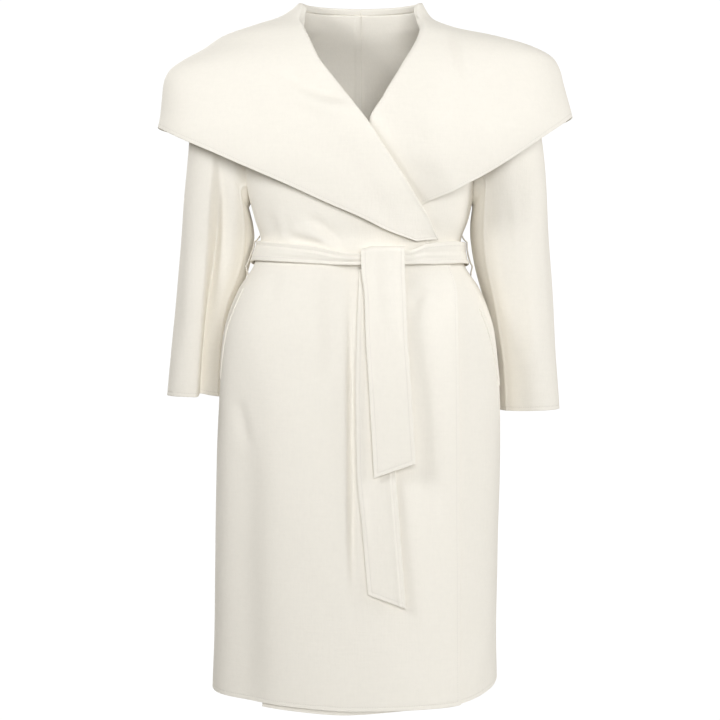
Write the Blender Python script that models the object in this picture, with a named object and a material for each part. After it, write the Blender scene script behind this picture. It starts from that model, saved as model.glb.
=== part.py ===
"""Wrap coat with a draped shawl collar and a tied belt, filled out as if worn.

Metres. +X is the wearer's left, -Y the front and +Z up. The origin lies between the
shoulders at the height of the neck's base. Angles go round the body from the front:
positive to the wearer's left, 180 degrees at the centre back.
"""

import math
from collections import namedtuple

import bpy
import numpy as np

# Cloth
CLOTH = 0.0022  # one layer of double-faced wool
SEAM_GAP = 0.0003  # between two pieces that are sewn edge to edge
LAYER_GAP = 0.0018  # between two layers that lie on each other
LAYER = CLOTH + LAYER_GAP
BELT_CLOTH = 0.0036  # the belt is folded to two layers round the waist
TRIM_CLOTH = 0.0016

# Body: the outer face of a single layer, as rings round the figure
BODY_POWER = 2.3  # 2 is an ellipse, more is squarer
Ring = namedtuple("Ring", "height half_width front back shift")
BODY = [
    Ring(0.0150, 0.0845, 0.044, 0.0590, 0.000),
    Ring(0.0040, 0.0870, 0.047, 0.0610, 0.000),
    Ring(-0.0170, 0.1000, 0.054, 0.0690, 0.000),
    Ring(-0.0320, 0.1350, 0.063, 0.0770, 0.000),
    Ring(-0.0425, 0.1680, 0.070, 0.0840, 0.000),
    Ring(-0.0525, 0.1940, 0.077, 0.0900, 0.000),
    Ring(-0.0650, 0.2040, 0.086, 0.0970, 0.000),
    Ring(-0.1000, 0.1980, 0.104, 0.1100, 0.000),
    Ring(-0.1500, 0.1870, 0.119, 0.1160, 0.000),
    Ring(-0.2000, 0.1770, 0.1285, 0.1160, 0.000),
    Ring(-0.2500, 0.1660, 0.127, 0.1100, 0.000),
    Ring(-0.3000, 0.1545, 0.118, 0.1010, 0.001),
    Ring(-0.3350, 0.1440, 0.113, 0.0960, 0.000),
    Ring(-0.3650, 0.1510, 0.1155, 0.1000, -0.002),
    Ring(-0.4000, 0.1730, 0.121, 0.1100, -0.002),
    Ring(-0.4300, 0.1860, 0.127, 0.1190, -0.002),
    Ring(-0.4650, 0.1955, 0.132, 0.1270, -0.002),
    Ring(-0.5100, 0.2000, 0.135, 0.1330, -0.002),
    Ring(-0.5600, 0.2025, 0.137, 0.1360, -0.002),
    Ring(-0.6500, 0.2045, 0.139, 0.1380, -0.004),
    Ring(-0.7700, 0.2045, 0.142, 0.1400, -0.006),
    Ring(-0.8900, 0.2045, 0.144, 0.1420, -0.008),
    Ring(-0.9900, 0.2060, 0.146, 0.1440, -0.009),
]

Hem = namedtuple("Hem", "angle height")
BODY_HEM = [
    Hem(-180, -0.968),
    Hem(-90, -0.971),
    Hem(-45, -0.972),
    Hem(0, -0.9775),
    Hem(45, -0.9775),
    Hem(72, -0.966),
    Hem(90, -0.958),
    Hem(135, -0.962),
    Hem(180, -0.968),
]
HEM_ROW = -0.985
SKIRT_ROWS = [
    HEM_ROW,
    -0.920,
    -0.860,
    -0.700,
    -0.560,
    -0.510,
    -0.465,
    -0.430,
    -0.400,
    -0.375,
    -0.355,
    -0.344,
    -0.333,
    -0.315,
    -0.297,
]
UNDERLAP_DROP = 0.0065  # the underlapping front hangs this much lower at its edge
HEM_ZONE = -0.86  # below this height the hem's own line takes over

# Armholes and shoulders
ARMHOLE_TOP = -0.060
ARMHOLE_LOW = -0.278
ARMHOLE_ANGLE = 22.0  # half of its opening, in degrees round the body
NECK_SEAM = 0.0045
SHOULDER_ROWS = [-0.048, -0.038, -0.028, -0.016, -0.006, NECK_SEAM]

# Front edges: x at each height, from the neck's base down
Edge = namedtuple("Edge", "height x")
LAP_EDGE = [
    Edge(0.0045, -0.0800),
    Edge(-0.0331, -0.0709),
    Edge(-0.0777, -0.0547),
    Edge(-0.1207, -0.0278),
    Edge(-0.1543, -0.0069),
    Edge(-0.1746, 0.0110),
    Edge(-0.2310, 0.0480),
    Edge(-0.2737, 0.0743),
    Edge(-0.3000, 0.0895),
    Edge(-0.3335, 0.1000),
    Edge(-0.3650, 0.1220),
    Edge(-0.4100, 0.1340),
    Edge(-0.9900, 0.1365),
]
UNDERLAP_EDGE = [
    Edge(0.0045, 0.0800),
    Edge(-0.0437, 0.0739),
    Edge(-0.0894, 0.0532),
    Edge(-0.1323, 0.0319),
    Edge(-0.1746, 0.0110),
    Edge(-0.2310, -0.0250),
    Edge(-0.2737, -0.0520),
    Edge(-0.3000, -0.0690),
    Edge(-0.3350, -0.0880),
    Edge(-0.4100, -0.1180),
    Edge(-0.6000, -0.1300),
    Edge(-0.9900, -0.1400),
]
LAP_START = -0.100  # the fronts begin to lie on each other below this height
LAP_FULL = -0.165
LAP_SIDE = -88.0  # angle where the lapping front starts to lift over the other
LAP_OVER = -69.0
LAP_EDGE_ANGLE = 66.0  # where the lapping front ends at the waist
WAIST = -0.348
LAP_LIFT = 0.0006  # the fronts lie this much less closely than the other layers
WAIST_LIFT = 0.0020  # and less closely still where the belt gathers them
UNDER_ROLL_LIFT = 0.0016  # and where the collar passes between them

# Collar: rings of the draped form, from the roll at the neck outwards and down
Drape = namedtuple("Drape", "height reach_right reach_left front back")
DRAPE = [
    Drape(0.0150, 0.0840, 0.0840, 0.045, 0.058),
    Drape(0.0130, 0.0885, 0.0885, 0.050, 0.0655),
    Drape(0.0020, 0.1020, 0.0950, 0.056, 0.0745),
    Drape(-0.0100, 0.1220, 0.1045, 0.062, 0.0825),
    Drape(-0.0230, 0.1595, 0.1380, 0.071, 0.088),
    Drape(-0.0360, 0.2010, 0.1960, 0.080, 0.098),
    Drape(-0.0530, 0.2280, 0.2520, 0.091, 0.107),
    Drape(-0.0700, 0.2580, 0.2800, 0.102, 0.115),
    Drape(-0.0870, 0.2790, 0.2890, 0.111, 0.121),
    Drape(-0.1060, 0.2870, 0.2940, 0.119, 0.126),
    Drape(-0.1520, 0.2910, 0.3060, 0.134, 0.133),
    Drape(-0.1800, 0.2950, 0.3110, 0.140, 0.136),
    Drape(-0.2200, 0.2850, 0.2950, 0.1435, 0.137),
    Drape(-0.2600, 0.2620, 0.2700, 0.1410, 0.134),
    Drape(-0.3450, 0.2000, 0.2100, 0.1290, 0.112),
]
DRAPE_REACH = 0.085  # distance over which the collar leaves the front for the drape

# Collar ribs, from the belt up the roll, round the neck and to the centre back.
# The inner and outer ends are an x, or an angle once the rib is behind the shoulder.
Rib = namedtuple("Rib", "inner_x inner_angle inner_height outer_x outer_angle outer_height")
RIBS_RIGHT = [
    Rib(0.1030, None, -0.3315, 0.0800, None, -0.3355),
    Rib(0.0895, None, -0.3000, 0.0384, None, -0.3220),
    Rib(0.0743, None, -0.2737, -0.0014, None, -0.3028),
    Rib(0.0480, None, -0.2310, -0.0537, None, -0.2805),
    Rib(0.0110, None, -0.1746, -0.1023, None, -0.2579),
    Rib(-0.0278, None, -0.1207, -0.1632, None, -0.2314),
    Rib(-0.0547, None, -0.0777, -0.2130, None, -0.2085),
    Rib(-0.0709, None, -0.0331, -0.2560, None, -0.1885),
    Rib(None, -78.0, 0.0110, None, -89.0, -0.1690),
    Rib(None, -100.0, 0.0149, None, -109.0, -0.1780),
    Rib(None, -135.0, 0.0149, None, -140.0, -0.1950),
    Rib(None, -180.0, 0.0149, None, -180.0, -0.2050),
]
RIBS_LEFT = [
    Rib(0.0650, None, -0.2890, 0.0850, None, -0.2930),
    Rib(0.0560, None, -0.2700, 0.1000, None, -0.2840),
    Rib(0.0280, None, -0.2240, 0.1340, None, -0.2640),
    Rib(0.0110, None, -0.1746, 0.1796, None, -0.2390),
    Rib(0.0319, None, -0.1323, 0.2150, None, -0.2170),
    Rib(0.0532, None, -0.0894, 0.2460, None, -0.1960),
    Rib(0.0739, None, -0.0437, 0.2780, None, -0.1740),
    Rib(None, 78.0, 0.0110, None, 89.0, -0.1540),
    Rib(None, 100.0, 0.0149, None, 109.0, -0.1700),
    Rib(None, 135.0, 0.0149, None, 140.0, -0.1930),
    Rib(None, 180.0, 0.0149, None, 180.0, -0.2050),
]
ROLL_RADIUS = 0.0028  # outer face of the roll along the collar's inner edge
STAND = 0.0095  # turned in at the back of the neck
LAPEL_TURN = 0.0062  # turned in along the front
HIDDEN_TURN = 0.0031  # where the lapping front covers it
EDGE_SET_BACK = 0.0105  # from the roll to the edge of the front beneath it
ROLL_STAND = 0.0007  # extra clearance between the collar and the front beneath it
COLLAR_STAND = 0.0005  # and more of it on the shoulder
CENTRE_SHARE = 0.0035  # of the last ribs' spacing: half of the seam at the centre back
HIDDEN_STRIP = 0.030  # the under collar keeps flat this far below the lapping one

# Sleeves: sections from the shoulder to the cuff, between an outer and an inner point
Section = namedtuple("Section", "outer_x outer_z inner_x inner_z centre_y half_depth")
SLEEVE_LEFT = [
    Section(0.2320, -0.0760, 0.1620, -0.2850, 0.000, 0.0660),
    Section(0.2520, -0.1250, 0.1610, -0.2930, 0.001, 0.0660),
    Section(0.2640, -0.2000, 0.1595, -0.3080, 0.004, 0.0640),
    Section(0.2715, -0.2800, 0.1605, -0.3330, 0.009, 0.0605),
    Section(0.2765, -0.3500, 0.1680, -0.3750, 0.016, 0.0580),
    Section(0.2820, -0.4200, 0.1835, -0.4300, 0.026, 0.0555),
    Section(0.2870, -0.5000, 0.1985, -0.5050, 0.037, 0.0525),
    Section(0.2935, -0.5775, 0.2060, -0.5795, 0.047, 0.0490),
]
SLEEVE_RIGHT = [
    Section(0.2280, -0.0760, 0.1620, -0.2850, 0.000, 0.0660),
    Section(0.2440, -0.1250, 0.1600, -0.2930, 0.004, 0.0655),
    Section(0.2510, -0.2000, 0.1570, -0.3080, 0.013, 0.0635),
    Section(0.2590, -0.2800, 0.1565, -0.3300, 0.027, 0.0600),
    Section(0.2650, -0.3500, 0.1640, -0.3700, 0.042, 0.0575),
    Section(0.2725, -0.4200, 0.1830, -0.4260, 0.056, 0.0550),
    Section(0.2810, -0.4900, 0.1940, -0.4930, 0.069, 0.0525),
    Section(0.2895, -0.5600, 0.1995, -0.5620, 0.081, 0.0490),
]
# Degrees from the sleeve's outer line to its front and back seams
SleeveSeam = namedtuple("SleeveSeam", "armhole cuff")
SEAM_LEFT = SleeveSeam(124.0, 146.0)
SEAM_RIGHT = SleeveSeam(138.0, 146.0)
SLEEVE_CURVE = 0.034  # the tightest radius along those seams
SLEEVE_START = 0.0050  # the sleeve head sits this far outside the armhole

# Belt round the waist: its two edges at each angle
BeltEdge = namedtuple("BeltEdge", "angle low high")
BELT = [
    BeltEdge(-180, -0.3760, -0.3300),
    BeltEdge(-120, -0.3720, -0.3290),
    BeltEdge(-75, -0.3640, -0.3330),
    BeltEdge(-30, -0.3680, -0.3430),
    BeltEdge(-5, -0.3710, -0.3540),
    BeltEdge(14, -0.3710, -0.3500),
    BeltEdge(31, -0.3705, -0.3494),
    BeltEdge(41, -0.3700, -0.3400),
    BeltEdge(60, -0.3690, -0.3345),
    BeltEdge(75, -0.3680, -0.3340),
    BeltEdge(120, -0.3740, -0.3300),
    BeltEdge(180, -0.3760, -0.3300),
]
BELT_STAND = 0.0017  # clear of the coat
BELT_BACK_STAND = 0.0020  # more behind, where the body turns faster
KNOT_ANGLE = 14.0
KNOT_STAND = 0.0050  # further out where the front end passes behind it

# Hanging ends of the belt. The front one turns over the belt's top edge.
TURN_TOP = -0.3425
TURN_BEHIND = 0.006  # reaches this far down behind the belt
TURN_DEPTH = 0.0186  # from its back strand to its front strand
Ribbon = namedtuple("Ribbon", "height left right front")
END_FRONT = [
    Ribbon(-0.3600, 0.0000, 0.0610, 0.1384),
    Ribbon(-0.3800, 0.0010, 0.0610, 0.1405),
    Ribbon(-0.4100, 0.0045, 0.0625, 0.1440),
    Ribbon(-0.4600, 0.0060, 0.0640, 0.1495),
    Ribbon(-0.5400, 0.0110, 0.0690, 0.1550),
    Ribbon(-0.6390, 0.0177, 0.0750, 0.1575),
]
END_BACK = [
    Ribbon(-0.3740, -0.0020, 0.0500, 0.1265),
    Ribbon(-0.4400, -0.0050, 0.0480, 0.1400),
    Ribbon(-0.5400, -0.0070, 0.0470, 0.1475),
    Ribbon(-0.6500, -0.0055, 0.0480, 0.1500),
    Ribbon(-0.7200, 0.0007, 0.0530, 0.1510),
    Ribbon(-0.8180, 0.0096, 0.0615, 0.1525),
]
END_FRONT_SLANT = 0.0200  # the cut end is longer on one side
END_BACK_SLANT = -0.0190

# Side pockets and belt loops
Welt = namedtuple("Welt", "height angle")
WELT_RIGHT = [Welt(-0.402, -72.0), Welt(-0.530, -82.0)]
WELT_LEFT = [Welt(-0.430, 72.0), Welt(-0.540, 82.0)]
WELT_WIDTH = 0.012
HIP_RADIUS = 0.16
WAIST_RADIUS = 0.15
LOOP_ANGLE = 92.0
LOOP_WIDTH = 0.009
LOOP_TOP = -0.3235
LOOP_FOOT = 0.0011  # clear of the coat where it is sewn on
LOOP_BEND = 0.16  # share of its length over which it rises to pass the belt
LOOP_LOW = -0.3830

WOOL = (0.86, 0.82, 0.74)


# ---------------------------------------------------------------- shared geometry


def smooth(at, knots, values):
    """A monotone cubic through the knots, level beyond them."""
    knots = np.asarray(knots, float)
    values = np.asarray(values, float)
    if knots[0] > knots[-1]:
        knots = knots[::-1]
        values = values[::-1]
    step = np.diff(knots)
    slope = np.diff(values) / step
    tangent = np.concatenate([slope[:1], np.zeros(len(slope) - 1), slope[-1:]])
    same = slope[:-1] * slope[1:] > 0
    sums = np.where(same, slope[:-1] + slope[1:], 1.0)
    tangent[1:-1] = np.where(same, 2 * slope[:-1] * slope[1:] / sums, 0.0)
    at = np.clip(at, knots[0], knots[-1])
    cell = np.clip(np.searchsorted(knots, at) - 1, 0, len(step) - 1)
    t = (at - knots[cell]) / step[cell]
    start = (1 + 2 * t) * (1 - t) ** 2 * values[cell] + t * (1 - t) ** 2 * step[cell] * tangent[cell]
    end = t * t * (3 - 2 * t) * values[cell + 1] + t * t * (t - 1) * step[cell] * tangent[cell + 1]
    return start + end


def read(table, at, key, name):
    """Column `name` of a table at the value `at` of its column `key`."""
    return smooth(at, [getattr(row, key) for row in table], [getattr(row, name) for row in table])


def ease(t):
    t = np.clip(t, 0.0, 1.0)
    return t * t * (3 - 2 * t)


def unit(vectors):
    return vectors / np.linalg.norm(vectors, axis=-1, keepdims=True)


def points(x, y, z):
    return np.stack(np.broadcast_arrays(x, y, z), axis=-1)


def ring_point(angle, side, depth, power, shift, height):
    turn = np.radians(angle)
    across = np.abs(np.sin(turn)) / side
    along = np.abs(np.cos(turn)) / depth
    radius = (across**power + along**power) ** (-1 / power)
    return points(shift + radius * np.sin(turn), -radius * np.cos(turn), height)


def body(angle, height):
    """The outer face of the lowest layer of cloth."""
    angle, height = np.broadcast_arrays(np.asarray(angle, float), np.asarray(height, float))
    front = np.cos(np.radians(angle)) > 0
    depth = np.where(front, read(BODY, height, "height", "front"), read(BODY, height, "height", "back"))
    side = read(BODY, height, "height", "half_width")
    return ring_point(angle, side, depth, BODY_POWER, read(BODY, height, "height", "shift"), height)


def drape(angle, place):
    """The outer face of the collar's drape; `place` counts along DRAPE's rows."""
    angle, place = np.broadcast_arrays(np.asarray(angle, float), np.asarray(place, float))
    rows = np.arange(len(DRAPE))
    wearer_left = np.sin(np.radians(angle)) > 0
    front = np.cos(np.radians(angle)) > 0
    columns = {name: smooth(place, rows, [getattr(row, name) for row in DRAPE]) for name in Drape._fields}
    side = np.where(wearer_left, columns["reach_left"], columns["reach_right"])
    depth = np.where(front, columns["front"], columns["back"])
    return ring_point(angle, side, depth, 2.0, 0.0, columns["height"])


def place_at(height):
    """Where DRAPE's falling side is at this height."""
    fine = np.linspace(0, len(DRAPE) - 1, 600)
    heights = smooth(fine, np.arange(len(DRAPE)), [row.height for row in DRAPE])
    return np.interp(-np.asarray(height, float), -heights, fine)


def normals(surface, u, v, step_u, step_v, outward=1):
    along_u = surface(u + step_u, v) - surface(u - step_u, v)
    along_v = surface(u, v + step_v) - surface(u, v - step_v)
    return outward * unit(np.cross(along_u, along_v))


def body_normal(angle, height):
    return normals(body, angle, height, 0.5, 0.0005)


def angle_for(surface, x, place):
    """The angle at which the surface reaches x on the front."""
    x, place = np.broadcast_arrays(np.asarray(x, float), np.asarray(place, float))
    low = np.full(x.shape, -90.0)
    high = np.full(x.shape, 90.0)
    for _ in range(30):
        middle = (low + high) / 2
        short = surface(middle, place)[..., 0] < x
        low = np.where(short, middle, low)
        high = np.where(short, high, middle)
    return (low + high) / 2


def wool(name, roughness=0.95):
    material = bpy.data.materials.new(name)
    material.use_nodes = True
    shader = material.node_tree.nodes["Principled BSDF"]
    shader.inputs["Base Color"].default_value = (*WOOL, 1)
    shader.inputs["Roughness"].default_value = roughness
    shader.inputs["Metallic"].default_value = 0.0
    return material


def wall(name, outer, inner, closed=False):
    """A closed wall between two grids of points. `closed` joins the last column to the first."""
    rows, columns = outer.shape[:2]
    vertices = np.concatenate([outer.reshape(-1, 3), inner.reshape(-1, 3)])
    behind = rows * columns
    faces = []
    spans = columns if closed else columns - 1
    for row in range(rows - 1):
        for column in range(spans):
            beside = (column + 1) % columns
            a = row * columns + column
            b = row * columns + beside
            c = (row + 1) * columns + beside
            d = (row + 1) * columns + column
            faces.append((a, b, c, d))
            faces.append((behind + a, behind + d, behind + c, behind + b))
    rim = [row_edge(0, columns, spans), row_edge(rows - 1, columns, spans)[::-1]]
    if not closed:
        rim.append([row * columns for row in range(rows)][::-1])
        rim.append([row * columns + columns - 1 for row in range(rows)])
    for line in rim:
        for a, b in zip(line, line[1:]):
            faces.append((b, a, behind + a, behind + b))
    mesh = bpy.data.meshes.new(name)
    mesh.from_pydata(vertices.tolist(), [], faces)
    if signed_volume(mesh) < 0:
        mesh.flip_normals()
    mesh.shade_smooth()
    mesh.set_sharp_from_angle(angle=math.radians(50))
    mesh.materials.append(wool(name))
    mesh.update()
    piece = bpy.data.objects.new(name, mesh)
    bpy.context.scene.collection.objects.link(piece)
    return piece


def row_edge(row, columns, spans):
    return [row * columns + column % columns for column in range(spans + 1)]


def signed_volume(mesh):
    mesh.calc_loop_triangles()
    corners = np.array([[mesh.vertices[i].co[:] for i in t.vertices] for t in mesh.loop_triangles])
    return float(np.einsum("ij,ij->i", corners[:, 0], np.cross(corners[:, 1], corners[:, 2])).sum())


# ---------------------------------------------------------------- body panels


def body_heights():
    """Rows of the panels: the skirt, the armhole's steps and the shoulder."""
    middle = (ARMHOLE_TOP + ARMHOLE_LOW) / 2
    half = (ARMHOLE_TOP - ARMHOLE_LOW) / 2
    armhole = [middle - half * math.cos(math.pi * step / 7) for step in range(8)]
    return np.array(SKIRT_ROWS + armhole + SHOULDER_ROWS)


def armhole_angle(height):
    """How far the armhole has eaten into the panel from the side, in degrees."""
    middle = (ARMHOLE_TOP + ARMHOLE_LOW) / 2
    half = (ARMHOLE_TOP - ARMHOLE_LOW) / 2
    inside = np.clip(1 - ((height - middle) / half) ** 2, 0, 1)
    return ARMHOLE_ANGLE * np.sqrt(inside)


def hem_height(angle, height, drop=0.0):
    """The hem's own line, reached below HEM_ZONE."""
    share = np.clip((HEM_ZONE - height) / (HEM_ZONE - HEM_ROW), 0, 1)
    line = read(BODY_HEM, angle, "angle", "height") - drop
    return np.where(height < HEM_ZONE, HEM_ZONE + (line - HEM_ZONE) * share, height)


def seam_angle(height):
    """Half of the seam gap, as an angle at the panel's side."""
    side = read(BODY, height, "height", "half_width")
    return np.degrees(SEAM_GAP / side)


def lap_lift(angle, height):
    """How far the lapping front stands off the lowest layer."""
    side = ease((angle - LAP_SIDE) / (LAP_OVER - LAP_SIDE))
    down = ease((LAP_START - height) / (LAP_START - LAP_FULL))
    x = body(angle, height)[..., 0]
    to_edge = read(LAP_EDGE, height, "height", "x") - x
    over_collar = ease((HIDDEN_STRIP + 0.045 - to_edge) / 0.040) * ease((height + 0.345) / 0.030)
    at_waist = ease(1 - np.abs(height - WAIST) / 0.030)
    return down * (side * (LAYER + LAP_LIFT + WAIST_LIFT * at_waist) + over_collar * (LAYER + UNDER_ROLL_LIFT))


def build_back(name, side):
    heights = body_heights()[:, None]
    share = np.linspace(0, 1, 7)[None, :]
    centre = 180 - np.degrees(SEAM_GAP / 2 / read(BODY, heights, "height", "back"))
    edge = 90 + armhole_angle(heights) + seam_angle(heights)
    angle = side * (edge + (centre - edge) * share)
    height = hem_height(angle, heights + 0 * angle)
    outer = body(angle, height)
    return wall(name, outer, outer - CLOTH * body_normal(angle, height))


def build_front(name, side, edge_table, columns, lift, drop):
    heights = body_heights()[:, None]
    share = np.linspace(0, 1, columns)[None, :]
    x = read(edge_table, heights, "height", "x")
    set_back = -side * np.where(heights > -0.345, EDGE_SET_BACK, 0.0)
    edge = angle_for(body, x - set_back, heights)
    seam = side * (90 - armhole_angle(heights) - seam_angle(heights))
    angle = seam + (edge - seam) * share
    lower = drop * ease((share - 0.35) / 0.4)
    height = hem_height(angle, heights + 0 * angle, lower)
    away = body_normal(angle, height)
    outer = body(angle, height) + away * lift(angle, height)[..., None]
    return wall(name, outer, outer - CLOTH * away)


def flat_lift(angle, height):
    return np.zeros(np.broadcast(angle, height).shape)


# ---------------------------------------------------------------- collar


def rib_ends(ribs, along, end, surface, by_height):
    """Angle and height of the ribs' inner or outer ends, at any place along the collar."""
    knots = np.arange(len(ribs))
    front = sum(rib.inner_x is not None for rib in ribs)
    heights = [getattr(rib, f"{end}_height") for rib in ribs]
    places = heights if by_height else list(place_at(heights))
    xs = []
    angles = []
    for rib, place in zip(ribs, places):
        x = getattr(rib, f"{end}_x")
        angle = getattr(rib, f"{end}_angle")
        angle = float(angle_for(surface, x, place)) if angle is None else angle
        xs.append(float(surface(angle, place)[0]) if x is None else x)
        angles.append(angle)
    height = smooth(along, knots, heights)
    by_x = angle_for(surface, smooth(along, knots, xs), height if by_height else place_at(height))
    round_neck = ease(along - (front - 1))
    return by_x + (smooth(along, knots, angles) - by_x) * round_neck, height


def collar_surface(ribs, lift, hidden):
    """The fall of the collar as a function of the place along the ribs and the share outwards."""
    knots = np.arange(len(ribs))
    front_ribs = sum(rib.inner_x is not None for rib in ribs)
    neck = np.array([0.0 if k < front_ribs - 2 else 0.5 if k < front_ribs else 1.0 for k in knots])
    flat = np.array([HIDDEN_STRIP if k < hidden else 0.0 for k in knots])

    def fall(along, out):
        angle_in, height_in = rib_ends(ribs, along, "inner", body, True)
        angle_out, height_out = rib_ends(ribs, along, "outer", drape, False)
        place_in = place_at(height_in)
        place_out = place_at(height_out)
        angle = angle_in + (angle_out - angle_in) * out
        place = place_in + (place_out - place_in) * out
        hanging = drape(angle, place)
        height = hanging[..., 2]
        stand = lift(angle, height) + LAYER + ROLL_STAND + COLLAR_STAND * ease((height + 0.16) / 0.08)
        lying = body(angle, height) + body_normal(angle, height) * stand[..., None]
        length = np.linalg.norm(drape(angle_out, place_out) - drape(angle_in, place_in), axis=-1)
        beyond = out * length - smooth(along, knots, flat)
        lying_share = (1 - smooth(along, knots, neck)) * (1 - ease(beyond / DRAPE_REACH))
        free = 1 - lying_share[..., None]
        return lying * (1 - free) + hanging * free

    return fall


def build_collar(name, ribs, lift, rows, hidden):
    fall = collar_surface(ribs, lift, hidden)
    turn = lapel_turn(ribs, hidden)
    along = np.linspace(0, len(ribs) - 1, rows)
    if ribs[-1].inner_angle in (180.0, -180.0):
        along[-1] -= CENTRE_SHARE
    out = np.linspace(0, 1, 9) ** 1.1
    u, v = np.meshgrid(along, out, indexing="ij")
    side = -1 if ribs[-1].inner_angle < 0 else 1
    step = 0.01
    edge_u = np.clip(u, step, len(ribs) - 1 - step)
    edge_v = np.clip(v, step, 1 - step)
    away = normals(fall, edge_u, edge_v, step, step, -side)
    surface = fall(u, v)
    start = surface[:, 0]
    outwards = unit(surface[:, 1] - start)
    up = away[:, 0]
    outwards = unit(outwards - up * np.sum(outwards * up, axis=-1, keepdims=True))
    centre = start + outwards * ROLL_RADIUS - up * ROLL_RADIUS
    depth = turn(along)[:, None]
    outer = [start - up * depth]
    face = [-outwards]
    for step_angle in (90, 60, 30, 0):
        turned = math.radians(step_angle)
        direction = up * math.cos(turned) - outwards * math.sin(turned)
        outer.append(centre + direction * ROLL_RADIUS)
        face.append(direction)
    outer += [surface[:, column] for column in range(1, surface.shape[1])]
    face += [away[:, column] for column in range(1, surface.shape[1])]
    outer = np.stack(outer, axis=1)
    face = np.stack(face, axis=1)
    return wall(name, outer, outer - CLOTH * face)


# ---------------------------------------------------------------- sleeves


def armhole_ring(turn, side, away):
    """The armhole's line, moved outwards. `turn` is 0 at the shoulder and 90 at the front."""
    middle = (ARMHOLE_TOP + ARMHOLE_LOW) / 2
    half = (ARMHOLE_TOP - ARMHOLE_LOW) / 2
    height = middle + half * np.cos(np.radians(turn))
    angle = side * (90 - ARMHOLE_ANGLE * np.sin(np.radians(turn)))
    return body(angle, height) + away * body_normal(angle, height)


def section_ring(section, turn, side):
    cos = np.cos(np.radians(turn))
    sin = np.sin(np.radians(turn))
    middle_x = (section.outer_x + section.inner_x) / 2
    middle_z = (section.outer_z + section.inner_z) / 2
    x = middle_x + (section.outer_x - section.inner_x) / 2 * cos
    z = middle_z + (section.outer_z - section.inner_z) / 2 * cos
    return points(side * x, section.centre_y - section.half_depth * sin, z)


def through(sections, at):
    """A Catmull-Rom curve through a list of equal grids; `at` counts along the list."""
    last = len(sections) - 1
    padded = [2 * sections[0] - sections[1], *sections, 2 * sections[-1] - sections[-2]]
    cell = min(int(at), last - 1)
    t = at - cell
    a, b, c, d = padded[cell : cell + 4]
    return 0.5 * (2 * b + (c - a) * t + (2 * a - 5 * b + 4 * c - d) * t**2 + (3 * b - a - 3 * c + d) * t**3)


def sleeve_surface(table, side):
    def surface(turn, place):
        turn, place = np.broadcast_arrays(np.asarray(turn, float), np.asarray(place, float))
        flat_turn = turn.ravel()
        rings = [armhole_ring(flat_turn, side, SLEEVE_START)]
        rings += [section_ring(section, flat_turn, side) for section in table]
        found = np.empty((flat_turn.size, 3))
        for value in np.unique(place):
            chosen = place.ravel() == value
            found[chosen] = through([ring[chosen] for ring in rings], value)
        return found.reshape(*turn.shape, 3)

    return surface


def seam_turns(seam, under, down):
    """Where one piece of the sleeve begins and ends, `down` being 0 at the armhole and 1 at the cuff."""
    line = seam.armhole + (seam.cuff - seam.armhole) * down
    return (line, 360 - line) if under else (-line, line)


def build_sleeve(name, table, side, seam, under, columns):
    surface = sleeve_surface(table, side)
    last = len(table)
    place = np.array([0, 0.35, 0.8, 1.3, 2, 2.7, 3.4, 4.2, 5, 6, 7, last])
    gap = np.degrees(SEAM_GAP / 2 / SLEEVE_CURVE)
    share, v = np.meshgrid(np.linspace(0, 1, columns), place, indexing="xy")
    start, end = seam_turns(seam, under, v / last)
    u = start + gap + (end - start - 2 * gap) * share
    step = 0.02
    away = normals(surface, u, np.clip(v, step, last - step), 1.0, step, side)
    outer = surface(u, v)
    return wall(name, outer, outer - CLOTH * away)


# ---------------------------------------------------------------- belt, pockets and loops


def coat_face(angle, height):
    """How far the coat's outermost layer stands off the lowest one."""
    return lap_lift(angle, height) * ease((LAP_EDGE_ANGLE + 12 - angle) / 12)


def build_waist(name, start, end, columns):
    angle = np.linspace(start, end, columns)[None, :]
    share = np.linspace(0, 1, 3)[:, None]
    turned = (angle + 180) % 360 - 180
    low = read(BELT, turned, "angle", "low")
    high = read(BELT, turned, "angle", "high")
    height = low + (high - low) * share
    across = angle + 0 * height
    near_knot = ease((34 - np.abs(across - KNOT_ANGLE)) / 12)
    front_share = ease((np.cos(np.radians(across)) + 0.05) / 0.4)
    front_stand = np.maximum(coat_face(across, height), LAYER)
    stand = BELT_BACK_STAND + (front_stand - BELT_BACK_STAND) * front_share
    inner_stand = stand + BELT_STAND + KNOT_STAND * near_knot
    away = body_normal(across, height)
    face = body(across, height)
    inner = face + away * inner_stand[..., None]
    outer = face + away * (inner_stand + BELT_CLOTH)[..., None]
    return wall(name, outer, inner)


def bow(x, height, middle):
    """How far the waist's roundness sets a ribbon's edges back from its middle."""
    here = body(angle_for(body, x, height), height)[..., 1]
    there = body(angle_for(body, middle, height), height)[..., 1]
    return here - there


def ribbon_rows(table, slant, rows):
    """Points of a hanging end's outer face, with its cut end longer on one side."""
    height = np.linspace(table[0].height, table[-1].height, rows)[:, None]
    share = np.linspace(0, 1, 5)[None, :]
    left = read(table, height, "height", "left")
    right = read(table, height, "height", "right")
    x = left + (right - left) * share
    down = (height - table[0].height) / (table[-1].height - table[0].height)
    z = height - abs(slant) * down**6 * (share if slant < 0 else 1 - share)
    rounding = bow(x, table[0].height + 0 * x, (left + right) / 2 + 0 * x) * (1 - ease(down * 1.6))
    return points(x, rounding - read(table, height, "height", "front"), z)


def build_end_back():
    outer = ribbon_rows(END_BACK, END_BACK_SLANT, 10)
    return wall("belt_end_back", outer, outer + np.array([0, CLOTH, 0]))


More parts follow.
